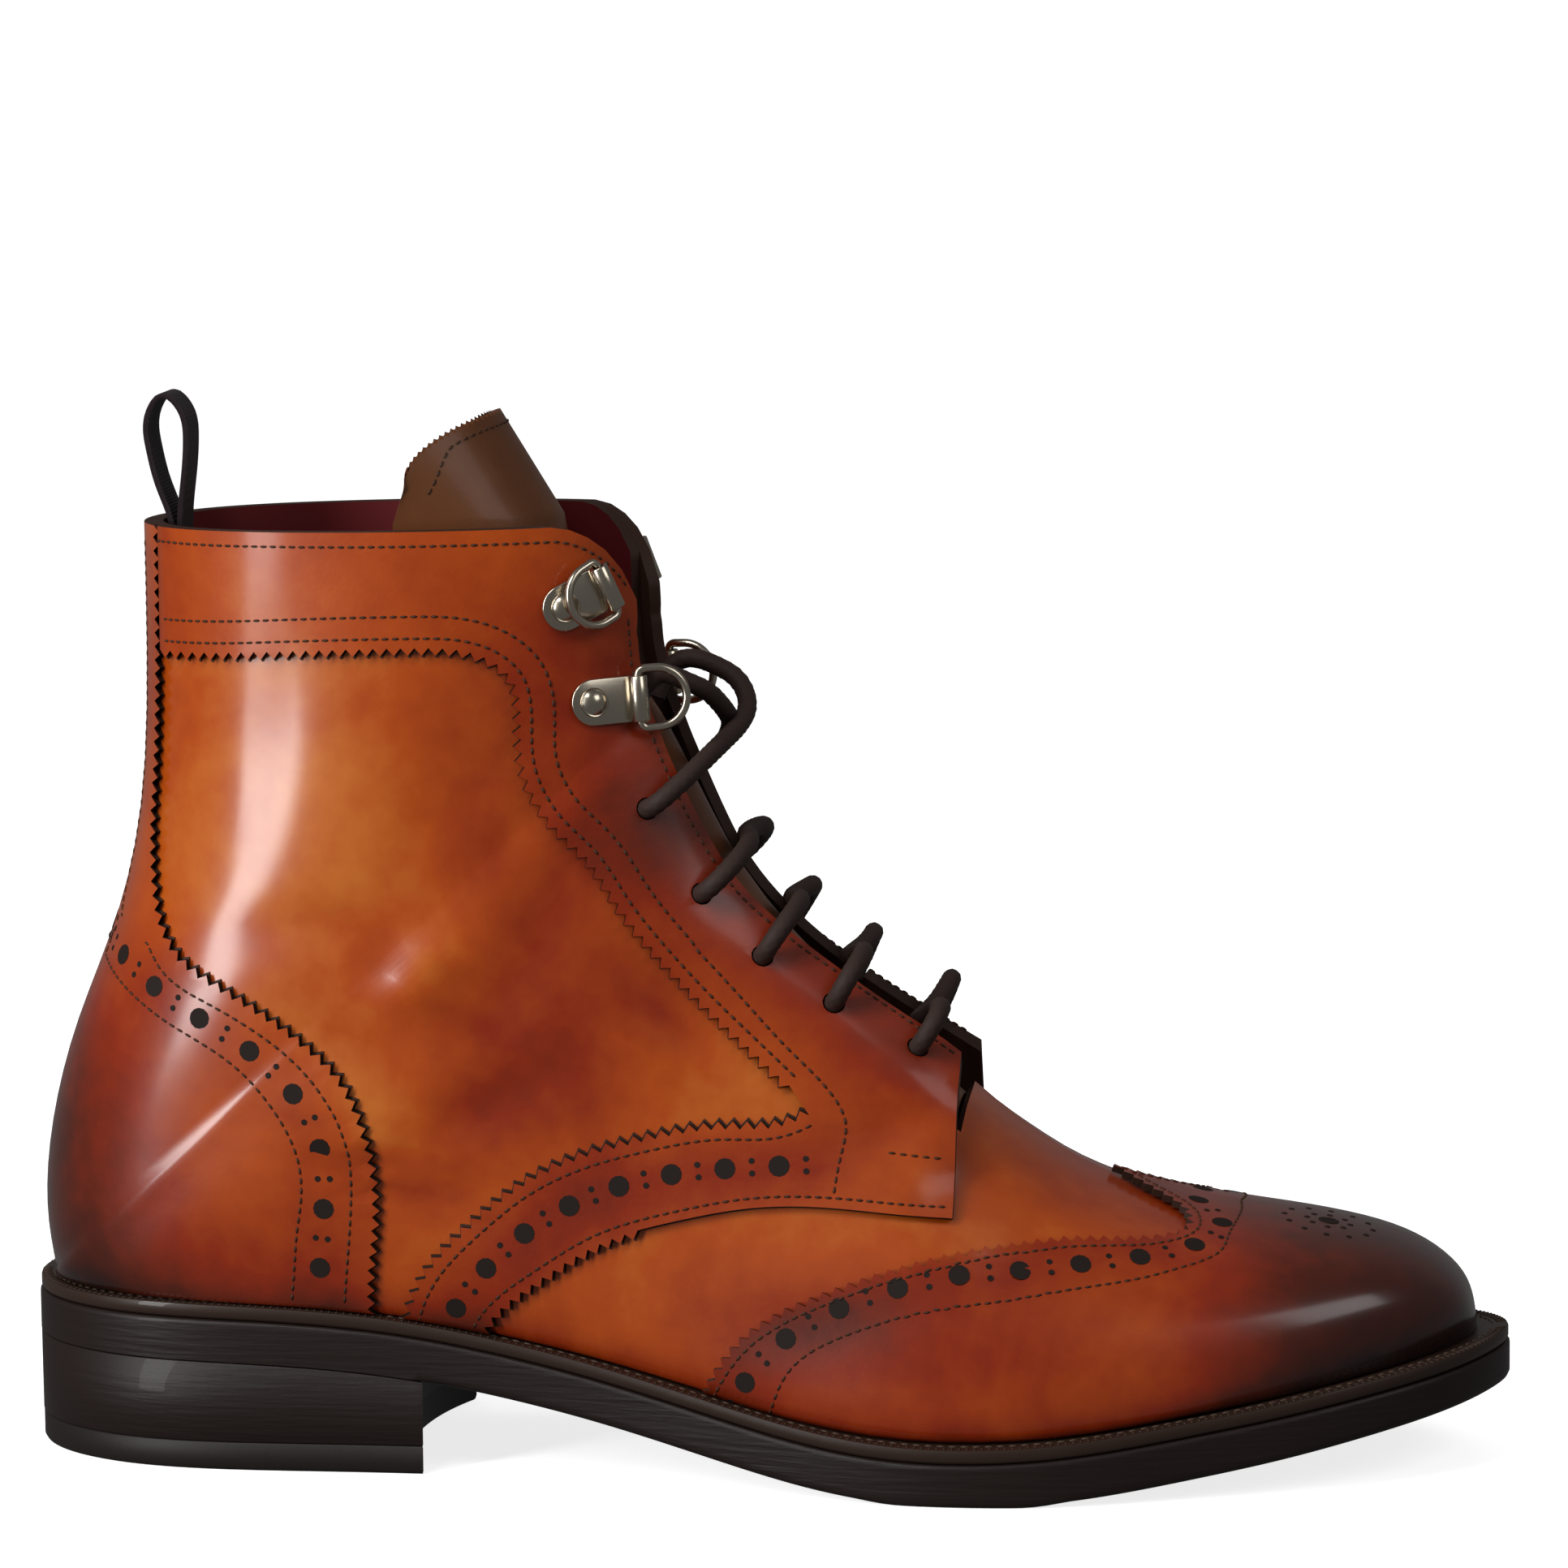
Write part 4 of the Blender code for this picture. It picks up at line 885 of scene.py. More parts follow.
# Facing with its collar strap and side strip: its inner edge from the back of
# the collar round the quarter to the welt, and its lower edge back to the front
FACING_INNER = read_table("""
    x      z
  -6.0  166.2
  10.0  167.0
  30.0  168.2
  50.0  168.8
  62.0  167.4
  69.0  162.0
  70.4  155.0
  70.4  148.0
  72.6  139.2
  77.4  132.0
  83.6  125.6
  89.4  116.8
  96.6  107.3
 104.8   98.2
 114.8   88.6
 123.6   80.4
""")
STRIP_UPPER = read_table("""
    x      z
 127.8   74.6
 122.6   72.6
 110.6   72.0
  96.1   69.8
  81.2   65.6
  69.8   59.8
  59.8   51.6
  51.8   43.3
  47.2   35.0
  44.6   22.0
""")
STRIP_LOWER = read_table("""
    x      z
  59.6   20.0
  61.4   30.4
  65.6   35.6
  73.6   41.6
  85.8   49.0
 101.0   53.8
 116.0   56.7
 130.0   57.2
 144.8   56.0
 156.8   54.8
""")


def smooth_points(table):
    """Evenly spaced points, one each half tooth, on a smooth line through a table."""
    xs, zs = table["x"], table["z"]
    length = run_length(np.stack([xs, zs], -1))
    where = np.linspace(0, length[-1], 2 * int(round(length[-1] / TOOTH_PITCH)) + 1)
    return np.stack([natural_spline(length, xs)(where), natural_spline(length, zs)(where)], -1)


def shifted(points, distance):
    """A line moved to its left, seen from the outer side, in millimetres."""
    along = unit(np.gradient(points, axis=0))
    return points + np.stack([-along[:, 1], along[:, 0]], -1) * np.atleast_1d(distance)[:, None]


def toothed(points, first=0, last=None):
    """Every second point pushed in, to make teeth."""
    push = np.where(np.arange(len(points)) % 2 == 1, -TOOTH_DEPTH, 0.0)
    push[:first] = 0
    if last is not None:
        push[last:] = 0
    return shifted(points, push)


def block_from(name, outline, low_y, high_y):
    """Hidden cutter through the boot from an outline in the side view."""
    mesh = bmesh.new()
    near = [mesh.verts.new((x, low_y, z)) for x, z in outline]
    far = [mesh.verts.new((x, high_y, z)) for x, z in outline]
    count = len(outline)
    faces = [mesh.faces.new(near), mesh.faces.new(far[::-1])]
    for i in range(count):
        k = (i + 1) % count
        faces.append(mesh.faces.new([near[k], near[i], far[i], far[k]]))
    for face in faces:
        face.material_index = 1
    bmesh.ops.recalc_face_normals(mesh, faces=mesh.faces)
    return solid(name, mesh, [calf, cut_edge])


def trimmed(thing, cutters):
    """The mesh of a piece after its cutters, which are then removed."""
    for cutter, operation in cutters:
        modifier = thing.modifiers.new(cutter.name, 'BOOLEAN')
        modifier.operation = operation
        modifier.object = cutter
        modifier.solver = 'EXACT'
        modifier.material_mode = 'INDEX'
    done = bpy.data.meshes.new_from_object(
        thing.evaluated_get(bpy.context.evaluated_depsgraph_get()))
    thing.modifiers.clear()
    thing.data = done
    done.shade_smooth()
    done.set_sharp_from_angle(angle=0.9)
    for cutter, _ in cutters:
        bpy.data.objects.remove(cutter)
    return thing


def ink_and_shadow_rim(name, sheet, low, high, block):
    """Dark rim beyond a toothed edge: partly edge ink, partly painted shadow of the edge on the
    leather under it.
    """
    rim = solid(name, thicken(sheet, low, high), [cut_edge, cut_edge])
    trimmed(rim, [(block, 'INTERSECT')])
    hand_over(rim)


# Dark rim beyond each toothed edge, partly edge ink and partly painted shadow: how far it shows, and
# its heights over the upper
INK_SHADOW_REACH, INK_SHADOW_LOW, INK_SHADOW_HIGH = 0.55, 0.05, 0.35
BLOCK_HALF = 60.0
counter_line = smooth_points(COUNTER_EDGE)
counter_rows = np.arange(12.0, COLLAR_ROW + 0.01, 0.25)
counter_blocks = []
for reach in (0.0, INK_SHADOW_REACH):
    outline = [tuple(p) for p in shifted(toothed(counter_line), -reach)]
    outline += [(-BLOCK_HALF, 201.0), (-BLOCK_HALF, 18.0)]
    counter_blocks.append(block_from("counter_block", outline, -BLOCK_HALF, BLOCK_HALF))
shell = thicken(worn_sheet(counter_rows, 9), GAP, GAP + OVERLAY)
counter = solid("heel_counter_leather", shell, [calf_cap, cut_edge])
by_layer(counter, 0, 1, 0)
trimmed(counter, [(counter_blocks[0], 'INTERSECT')])
dress(counter, ["heel_counter"], 0.06)
# Dark rim beyond the counter's teeth: partly edge ink, partly painted shadow
ink_and_shadow_rim("counter_edge_ink_and_shadow", worn_sheet(counter_rows, 9), INK_SHADOW_LOW, INK_SHADOW_HIGH, counter_blocks[1])

FRONT_X, BACK_X, BLOCK_TOP = 156.8, -6.0, 215.0
LOWER_TEETH_END = 36
EYELET_RADIUS, EYELET_DEPTH = 2.3, 12.0
inner_line, upper_line, lower_line = (smooth_points(table) for table in
                                      (FACING_INNER, STRIP_UPPER, STRIP_LOWER))
facing_rows = np.arange(8.0, COLLAR_ROW + 0.01, 0.2)
facings = {}


def facing_block(side, reach, front_x):
    """Cutter with a facing's toothed outline, moved out by a reach."""
    lines = (toothed(inner_line), toothed(upper_line), toothed(lower_line, 0, LOWER_TEETH_END))
    outline = [tuple(p) for line in lines for p in shifted(line, -reach)]
    outline += [(front_x, BLOCK_TOP), (BACK_X, BLOCK_TOP)]
    return block_from("facing_block", outline, min(0, 70 * side), max(0, 70 * side))


for side in (LATERAL, MEDIAL):
    shell = thicken(worn_sheet(facing_rows, 1, (side,)), facing_underside, facing_top)
    facing = solid("facing_leather_" + SIDE_NAMES[side], shell, [calf_facing, cut_edge, lining_calf])
    by_layer(facing, 0, 1, 2)
    pins = bmesh.new()
    for row, turn in zip(EYELETS["row"], EYELETS["turn"]):
        outward = skin_normal(row, turn, side)
        spot = skin(row, turn, side) + outward * float(facing_top(row, turn))
        turned = Vector(outward).to_track_quat('Z', 'Y').to_matrix().to_4x4()
        bmesh.ops.create_cone(
            pins, cap_ends=True, segments=20, radius1=EYELET_RADIUS, radius2=EYELET_RADIUS,
            depth=EYELET_DEPTH, matrix=Matrix.Translation(Vector(spot)) @ turned)
    for face in pins.faces:
        face.material_index = 1
    pins = solid("eyelet_pins", pins, [calf, cut_edge])
    trimmed(facing, [(facing_block(side, 0.0, FRONT_X), 'INTERSECT'), (pins, 'DIFFERENCE')])
    # Dark rim beyond the facing's teeth: partly edge ink, partly painted shadow
    ink_and_shadow_rim("facing_edge_ink_and_shadow_" + SIDE_NAMES[side], worn_sheet(facing_rows, 1, (side,)),
          lambda row, turn: facing_underside(row, turn) + INK_SHADOW_LOW - GAP,
          lambda row, turn: facing_underside(row, turn) + INK_SHADOW_HIGH - GAP,
          facing_block(side, INK_SHADOW_REACH, FRONT_X - GAP))
    facings[side] = dress(facing, ["facing_" + SIDE_NAMES[side]], 0.08, 1.0)


# Tongue: thin tan calf behind the lacing, its free top cut with teeth on the sides and stitched round


def bridge(mesh, rings, closed=False):
    """Quads between successive rings; open ends get a cap."""
    count = len(rings[0])
    pairs = list(zip(rings, rings[1:])) + ([(rings[-1], rings[0])] if closed else [])
    for a, b in pairs:
        for i in range(count):
            k = (i + 1) % count
            mesh.faces.new([a[i], a[k], b[k], b[i]])
    if not closed:
        mesh.faces.new(rings[0][::-1])
        mesh.faces.new(rings[-1])
    bmesh.ops.remove_doubles(mesh, verts=mesh.verts, dist=0.002)
    bmesh.ops.dissolve_degenerate(mesh, edges=mesh.edges, dist=0.002)
    face_out(mesh)


def face_out(mesh):
    bmesh.ops.recalc_face_normals(mesh, faces=mesh.faces)
    if mesh.calc_volume(signed=True) < 0:
        bmesh.ops.reverse_faces(mesh, faces=mesh.faces)


def facing_point(row, turn, side):
    """Points on the outer face of a facing."""
    return skin(row, turn, side) + skin_normal(row, turn, side) * float(facing_top(row, turn))


TONGUE_THICK, TONGUE_CLEAR, TONGUE_LEAN, TONGUE_NARROW = 2.0, 1.3, 14.0, 0.14
TONGUE_LOW_TURN, TONGUE_TOP_TURN = 46.0, 70.0
TONGUE_TEETH, TONGUE_TOOTH = 44, 0.035      # teeth of one half, and their depth in rows


def tongue_top(share):
    """How far the free top stands from the collar, at a share from ridge to edge."""
    return np.array([-13.0 + 15.6 * share ** 4, 0.0, 21.5 - 13.5 * share ** 2])


def tongue_point(row, turn, side, depth):
    """A point of the tongue under the upper's outside; rows past the collar are
    shares of its free top."""
    held = min(row, COLLAR_ROW)
    rise = float(smooth_step(held, 13.5, COLLAR_ROW))
    point = skin(held, turn, side) - depth * skin_normal(held, turn, side)
    point[0] -= TONGUE_LEAN * rise
    point[1] *= 1 - TONGUE_NARROW * rise
    return point + max(row - COLLAR_ROW, 0) * tongue_top(turn / TONGUE_TOP_TURN)


def tongue_half(row):
    """Turn reached by the tongue's side edges, cut with teeth at the top."""
    spread = float(smooth_step(row, 12, 21))
    return TONGUE_LOW_TURN + (TONGUE_TOP_TURN - TONGUE_LOW_TURN) * spread


tongue_rows = np.concatenate([np.arange(9.0, 24.0, 0.5), np.linspace(24, 25, 13)])
tongue_shares = np.linspace(-1, 1, 2 * TONGUE_TEETH + 1)
mesh = bmesh.new()
rings = []
for row in tongue_rows:
    layers = []
    for deep in (WALL + TONGUE_CLEAR, WALL + TONGUE_CLEAR + TONGUE_THICK):
        line = []
        for index, share in enumerate(tongue_shares):
            level = row - TONGUE_TOOTH * (row > 24.99) * (index % 2)
            turn = abs(share) * tongue_half(row)
            line.append(tongue_point(level, turn, MEDIAL if share > 0 else LATERAL, deep))
        layers.append(line)
    rings.append([mesh.verts.new(p) for p in layers[0] + layers[1][::-1]])
bridge(mesh, rings)
tan_calf = patina_leather("tan_tongue_calf", 0.0, 0.42, 0.12, 0.22)
for element, colour in zip(tan_calf.node_tree.nodes["Color Ramp"].color_ramp.elements,
                           ((0.20, 0.085, 0.030), (0.135, 0.046, 0.015), (0.09, 0.028, 0.010),
                            (0.05, 0.016, 0.007), (0.03, 0.010, 0.005))):
    element.color = (*colour, 1)
tongue = dress(solid("tongue_leather", mesh, [tan_calf]), ["tongue"], 0.1)


# Stitches, perforations and brogue holes: waxed thread, and near-black discs of painted shade standing
# for the punched holes, that follow the edges of the cap, counter, facings, strap and tongue

REACH_OVER, REACH_OVER_THROAT = 3.4, 12.0


def surface_of(thing):
    """Search tree over a finished piece, in millimetres."""
    mesh = bmesh.new()
    mesh.from_mesh(thing.data)
    bmesh.ops.scale(mesh, vec=(1 / MM, 1 / MM, 1 / MM), verts=mesh.verts)
    tree = BVHTree.FromBMesh(mesh)
    mesh.free()
    return tree


def spots_on(tree, start, direction):
    """Place and normal where a ray meets a piece, in a list that is empty if it misses."""
    hit, normal, _, _ = tree.ray_cast(Vector(start), Vector(direction))
    return [] if hit is None else [(np.array(hit), np.array(normal))]


def nearest_spot(tree, point):
    hit, normal, _, _ = tree.find_nearest(Vector(point))
    return np.array(hit), np.array(normal)


def from_side(tree, points, side):
    """Spots (place and normal) on a piece straight behind side-view points."""
    return [spot for x, z in points for spot in spots_on(tree, (x, side * 90, z), (0, -side, 0))
            if side * spot[0][1] > 0]


def from_back(tree, points):
    """Spots on a piece straight ahead of (y, z) points behind the heel."""
    return [spot for y, z in points for spot in spots_on(tree, (-90, y, z), (1, 0, 0))]


def from_skin(tree, rows, turns, side, reach=REACH_OVER):
    """Spots on a piece's outer face over places of the last."""
    away = skin_normal(rows, np.maximum(turns, 0.6), side)
    return [nearest_spot(tree, point) for point in skin(rows, turns, side) + away * reach]


def evenly(spots, pitch, start=0.5):
    """Spots at an even pitch along a line of spots, each with its direction."""
    places = np.array([spot[0] for spot in spots])
    normals = np.array([spot[1] for spot in spots])
    length = run_length(places)
    count = max(int(length[-1] / pitch), 1)
    step = length[-1] / count
    where = step * (np.arange(count) + start)
    where = where[where <= length[-1]]
    columns = [np.interp(where, length, column) for column in (*places.T, *normals.T)]
    ahead = [np.interp(np.minimum(where + 0.3, length[-1]), length, column)
             - np.interp(where - 0.3, length, column) for column in places.T]
    return np.stack(columns[:3], -1), np.stack(columns[3:], -1), np.stack(ahead, -1)


def repeat_tree(name, ball):
    """Node tree that puts one small ball or disc on each point of a mesh."""
    tree = bpy.data.node_groups.new(name, 'GeometryNodeTree')
    sockets = tree.interface
    sockets.new_socket("Points", in_out='INPUT', socket_type='NodeSocketGeometry')
    for label in ("Length", "Width", "Height"):
        sockets.new_socket(label, in_out='INPUT', socket_type='NodeSocketFloat')
    sockets.new_socket("Material", in_out='INPUT', socket_type='NodeSocketMaterial')
    sockets.new_socket("Mesh", in_out='OUTPUT', socket_type='NodeSocketGeometry')
    given, result = wired(tree, "NodeGroupInput"), wired(tree, "NodeGroupOutput")
    if ball:
        form = wired(tree, "GeometryNodeMeshIcoSphere", {"Radius": 0.5, "Subdivisions": ball})
    else:
        form = wired(tree, "GeometryNodeMeshCylinder", {"Radius": 0.5, "Depth": 1.0, "Vertices": 12})
    size = wired(tree, "ShaderNodeCombineXYZ", (), {
        "X": given.outputs["Length"], "Y": given.outputs["Width"], "Z": given.outputs["Height"]})
    shaped = wired(tree, "GeometryNodeTransform", (), {
        "Geometry": form.outputs["Mesh"], "Scale": size.outputs["Vector"]})
    turn = tree.nodes.new("GeometryNodeInputNamedAttribute")
    turn.data_type = 'FLOAT_VECTOR'
    turn.inputs["Name"].default_value = "turn"
    turned = wired(tree, "FunctionNodeEulerToRotation", (), {"Euler": turn.outputs["Attribute"]})
    placed = wired(tree, "GeometryNodeInstanceOnPoints", (), {
        "Points": given.outputs["Points"], "Instance": shaped.outputs["Geometry"],
        "Rotation": turned.outputs["Rotation"]})
    real = wired(tree, "GeometryNodeRealizeInstances", (), {
        "Geometry": placed.outputs["Instances"]})
    coloured = wired(tree, "GeometryNodeSetMaterial", (), {
        "Geometry": real.outputs["Geometry"], "Material": given.outputs["Material"]})
    tree.links.new(coloured.outputs["Geometry"], result.inputs["Mesh"])
    return tree


def repeated(name, tree, lines, size, material, lift=0.0):
    """One mesh of what repeats along lines of (places, normals, directions)."""
    places = np.concatenate([line[0] for line in lines])
    normals = unit(np.concatenate([line[1] for line in lines]))
    runs = np.concatenate([line[2] for line in lines])
    turns = []
    for normal, run in zip(normals, runs):
        run = run - normal * np.dot(run, normal)
        run /= np.linalg.norm(run) + 1e-9
        frame = Matrix((run, np.cross(normal, run), normal)).transposed()
        turns.append(tuple(frame.to_euler()))
    data = bpy.data.meshes.new(name)
    data.from_pydata([tuple(p) for p in (places + normals * lift) * MM], [], [])
    data.attributes.new("turn", 'FLOAT_VECTOR', 'POINT').data.foreach_set(
        "vector", np.array(turns).ravel())
    thing = bpy.data.objects.new(name, data)
    bpy.context.collection.objects.link(thing)
    modifier = thing.modifiers.new(name, 'NODES')
    modifier.node_group = tree
    values = {"Length": size[0] * MM, "Width": size[1] * MM, "Height": size[2] * MM,
              "Material": material}
    for socket in tree.interface.items_tree:
        if socket.name in values:
            modifier[socket.identifier] = values[socket.name]
    made = bpy.data.meshes.new_from_object(
        thing.evaluated_get(bpy.context.evaluated_depsgraph_get()))
    thing.modifiers.clear()
    thing.data = made
    if tree == disc_tree:
        made.shade_flat()
    else:
        made.shade_smooth()
    return thing


thread = paint("waxed_thread", (0.055, 0.022, 0.010), 0.55)
# Near-black discs laid on the leather stand for the holes: painted shade of their depth
hole_shade_paint = paint("painted_hole_shade", (0.012, 0.006, 0.004), 0.75)
stitch_tree = repeat_tree("stitches", 1)
disc_tree = repeat_tree("punched_holes", 0)
STITCH, PITCH = (1.7, 0.62, 0.5), 2.05
HOLE, PINHOLE, PINHOLE_APART = (4.3, 4.3, 0.12), (1.25, 1.25, 0.12), 1.25

cap_surface, counter_surface = surface_of(cap), surface_of(counter)
facing_surface = {side: surface_of(facings[side]) for side in facings}
cap_turns = np.linspace(0.5, 176, 150)
cap_rows = wing_edge(cap_turns)
stitch_lines, big_holes, pin_holes = [], [], []


def hole_line(spots, pitch):
    """Big holes along a line, and a pair of pinholes half way between them."""
    big_holes.append(evenly(spots, pitch, 0.5))
    places, normals, runs = evenly(spots, pitch, 1.0)
    across = unit(np.cross(normals, runs))
    for push in (-PINHOLE_APART, PINHOLE_APART):
        pin_holes.append((places + across * push, normals, runs))


# Rows of the cap's hole line and second seam at each turn
CAP_LINES = read_table("""
  turn  holes   seam
   0.0   6.15   5.55
  10.0   5.95   5.52
  20.0   5.74   5.54
  35.0   5.73   5.60
  48.0   6.12   5.70
  59.0   6.68   6.08
  67.5   7.26   6.50
  77.5   8.00   7.20
  88.0   8.78   7.98
  97.5   9.43   8.70
 110.0  10.12   9.58
 128.0  10.70  10.38
 150.0  10.96  10.64
 180.0  11.00  10.68
""")
cap_holes, cap_seam = (natural_spline(CAP_LINES["turn"], CAP_LINES[name])
                       for name in ("holes", "seam"))

COUNTER_OUTER = read_table("""
    x      z
  -8.0  106.8
  -4.9  102.4
   6.0   96.0
  18.9   88.7
  28.6   79.7
  34.0   69.5
  35.2   60.0
  34.6   50.0
  33.6   41.0
  32.9   35.0
""")
COUNTER_HOLES = read_table("""
    x      z
 -19.5  106.8
 -12.9  103.1
  -5.6   98.4
   2.1   94.0
  10.9   89.3
  19.5   82.8
  27.1   73.1
  29.6   62.8
  29.1   51.4
  27.6   36.5
""")
COUNTER_INNER = read_table("""
    x      z
 -20.0  102.6
 -15.2   99.2
  -3.2   91.8
   9.8   84.7
  19.1   75.4
  24.2   65.5
  24.9   58.0
  23.7   50.0
  22.9   42.9
  22.0   35.2
""")
STRAP_END = read_table("""
    x      z
 105.1  106.6
 114.2   96.9
 123.3   87.3
 131.6   79.0
 134.9   73.0
 134.2   66.5
 133.2   59.5
""")
STRIP_HOLES = read_table("""
    x      z
  52.6   29.5
  62.0   42.8
  75.0   53.9
  92.8   61.5
 114.1   64.6
 127.5   65.2
""")
BAR_TACK = read_table("""
    x      z
 143.2   67.2
 154.4   65.8
""")
# Distances of the seams from the edges that they follow
FIRST_SEAM, SECOND_SEAM, THROAT_SEAM, COLLAR_SEAM, CAP_SEAM = 1.9, 6.3, 2.2, 2.9, 1.2
SECOND_SEAM_FOOT = 108.5  # height at which the second seam leaves the edge for the strap
COUNTER_PITCH, CAP_PITCH, STRIP_PITCH = 12.2, 11.6, 10.2
STRAP_SEAM_Y = 9.0
# The counter's second seam and its hole line go on round the back of the heel
for table, z, holes in ((COUNTER_INNER, 105.5, False), (COUNTER_HOLES, 109.0, True)):
    near = from_side(counter_surface, smooth_points(table), LATERAL)
    far = from_side(counter_surface, smooth_points(table), MEDIAL)
    behind = from_back(counter_surface, [(y, z) for y in np.linspace(-12, 12, 9)])
    whole = near[::-1] + behind + far
    if holes:
        hole_line(whole, COUNTER_PITCH)
    else:
        stitch_lines.append(evenly(whole, PITCH))
for side in (LATERAL, MEDIAL):
    for rows, turns in (beside(cap_rows, cap_turns, side, TOOTH_DEPTH + CAP_SEAM),
                        (cap_seam(cap_turns), cap_turns)):
        stitch_lines.append(evenly(from_skin(cap_surface, rows, turns, side), PITCH))
    hole_line(from_skin(cap_surface, cap_holes(cap_turns), cap_turns, side), CAP_PITCH)
    strap = [(side * STRAP_SEAM_Y, z) for z in np.arange(188, 121, -2.0)]
    strap += [(side * (STRAP_SEAM_Y + bend), z) for bend, z in ((0.6, 118), (2, 114), (4.6, 111))]
    stitch_lines.append(evenly(from_back(counter_surface, strap) + from_side(
        counter_surface, smooth_points(COUNTER_OUTER), side), PITCH))
    surface = facing_surface[side]
    inner_rows = [shifted(line, FIRST_SEAM) for line in (inner_line, upper_line, lower_line)]
    second = shifted(inner_line, SECOND_SEAM)
    second = second[second[:, 1] > SECOND_SEAM_FOOT]
    end = smooth_points(STRAP_END)
    for points in (*inner_rows, np.concatenate([second, end]), smooth_points(BAR_TACK)):
        stitch_lines.append(evenly(from_side(surface, points, side), PITCH))
    hole_line(from_side(surface, smooth_points(STRIP_HOLES), side), STRIP_PITCH)
    throat = []
    for row in np.arange(9.6, 21.6, 0.2):
        edge = turn_at_width(row, FACING_GAP_HALF, side)
        step = np.linalg.norm(skin(row, edge + 1, side) - skin(row, edge, side))
        throat.append((row, edge + THROAT_SEAM / step))
    throat = np.array(throat)
    stitch_lines.append(evenly(from_skin(
        surface, throat[:, 0], throat[:, 1], side, REACH_OVER_THROAT), PITCH))
    collar_turns = np.linspace(26, 176, 120)
    slope = np.linalg.norm(skin(24.0, collar_turns, side) - skin(23.9, collar_turns, side), axis=1)
    levels = np.array([COLLAR_ROW - collar_drop(COLLAR_ROW, turn) for turn in collar_turns])
    stitch_lines.append(evenly(from_skin(
        surface, levels - COLLAR_SEAM / (slope * 10), collar_turns, side), PITCH))

MEDALLION = (230.0, 0.5)
for count, radius in ((1, 0.0), (8, 4.4), (12, 9.0)):
    spots = []
    for angle in np.arange(count) * 2 * np.pi / count:
        over = Vector((MEDALLION[0] + radius * math.cos(angle),
                       MEDALLION[1] + radius * math.sin(angle), 90))
        spots.append((*spots_on(cap_surface, over, (0, 0, -1))[0], np.array((1.0, 0, 0))))
    dots = tuple(np.array([spot[k] for spot in spots]) for k in range(3))
    (big_holes if count == 1 else pin_holes).append(dots)

tongue_surface = surface_of(tongue)
tongue_line = []
for share in np.linspace(-0.93, 0.93, 120):
    row = 24.93 - 0.9 * max(abs(share) - 0.62, 0) ** 1.6 * 3
    point = tongue_point(row, abs(share) * TONGUE_TOP_TURN, MEDIAL if share > 0 else LATERAL,
                         WALL + TONGUE_CLEAR)
    tongue_line.append(nearest_spot(tongue_surface, point + (4, 0, 1)))
stitch_lines.append(evenly(tongue_line, PITCH))

# the brogue holes and pinholes are flat dark discs of painted shade, not cut holes
for name, tree, lines, size, material, lift in (
        ("seam_stitches", stitch_tree, stitch_lines, STITCH, thread, 0.05),
        ("brogue_holes", disc_tree, big_holes, HOLE, hole_shade_paint, 0.02),
        ("pinholes", disc_tree, pin_holes, PINHOLE, hole_shade_paint, 0.02)):
    hand_over(repeated(name, tree, lines, size, material, lift))


# Bottom: leather welt and outsole with a burnished dark edge, stacked heel with
# a rubber top lift, and the insole inside

SOLE_EDGE = read_table("""
    x   reach
 -40.0    6.0
 -20.0    5.0
  10.0    3.8
  50.0    4.0
 100.0    5.8
 150.0    7.2
 210.0    7.6
 270.0    8.6
""")
edge_reach = natural_spline(SOLE_EDGE["x"], SOLE_EDGE["reach"])
OUTLINE_STATIONS = 180
HEEL_STATIONS = 70


def outline_point(share, side):
    """Point of the feather line; shares past an end come back on the other side."""
    folded = -share if share < 0 else (2 - share if share > 1 else share)
    if folded != share:
        side = -side
    return np.array([float(x_around(folded)), float(feather_curve[side](folded))])


def outline_pair(share, reach):
    """Lateral and medial points of the outline, moved outward by reach."""
    step = 0.01
    pair = []
    for side in (LATERAL, MEDIAL):
        along = outline_point(share + step, side) - outline_point(share - step, side)
        outward = unit(side * np.array([along[1], -along[0]]))
        point = outline_point(share, side)
        pair.append(point + outward * (reach(point[0]) if callable(reach) else reach))
    return pair


def sole_shares(low, high):
    """Stations round the outline between two x, close together at the ends."""
    low_share, high_share = float(around(low)), float(around(high))
    count = max(int(round(OUTLINE_STATIONS * (low_share - high_share))), HEEL_STATIONS)
    return np.linspace(high_share, low_share, count)


def inset_edge(amount):
    return lambda x: float(edge_reach(x)) - amount


def outsole_top(x):
    return float(welt_top(x)) - WELT_THICK - 0.04


def layer(name, profile, materials, low=HEEL_X, high=TOE_X):
    """Solid whose edge steps through a profile of (reach, height)."""
    mesh = bmesh.new()
    rings = []
    for share in sole_shares(low, high):
        left, right = [], []
        for reach, height in profile:
            near, far = outline_pair(share, reach)
            left.append((near[0], near[1], float(height(near[0]))))
            right.append((far[0], far[1], float(height(far[0]))))
        rings.append([mesh.verts.new(p) for p in left + right[::-1]])
    bridge(mesh, rings)
    return solid(name, mesh, materials, 0.9)


edge_ink = paint("burnished_edge", (0.014, 0.008, 0.007), 0.46, 0.0, 0.04)
add_bump(edge_ink, 60, 0.35, 0.0005, 5.0, stretch=(1, 1, 14))
add_bump(edge_ink, 420, 0.12, 0.0002, 4.0)
lift_rubber = paint("top_lift_rubber", (0.014, 0.010, 0.009), 0.5)
add_bump(lift_rubber, 500, 0.15, 0.0002)


def fore_edge(x):
    """1 where the sole's lower corner is free and rounded, small on the heel."""
    return 0.2 + 0.8 * float(smooth_step(x, HEEL_BREAST - 4, HEEL_BREAST + 4))


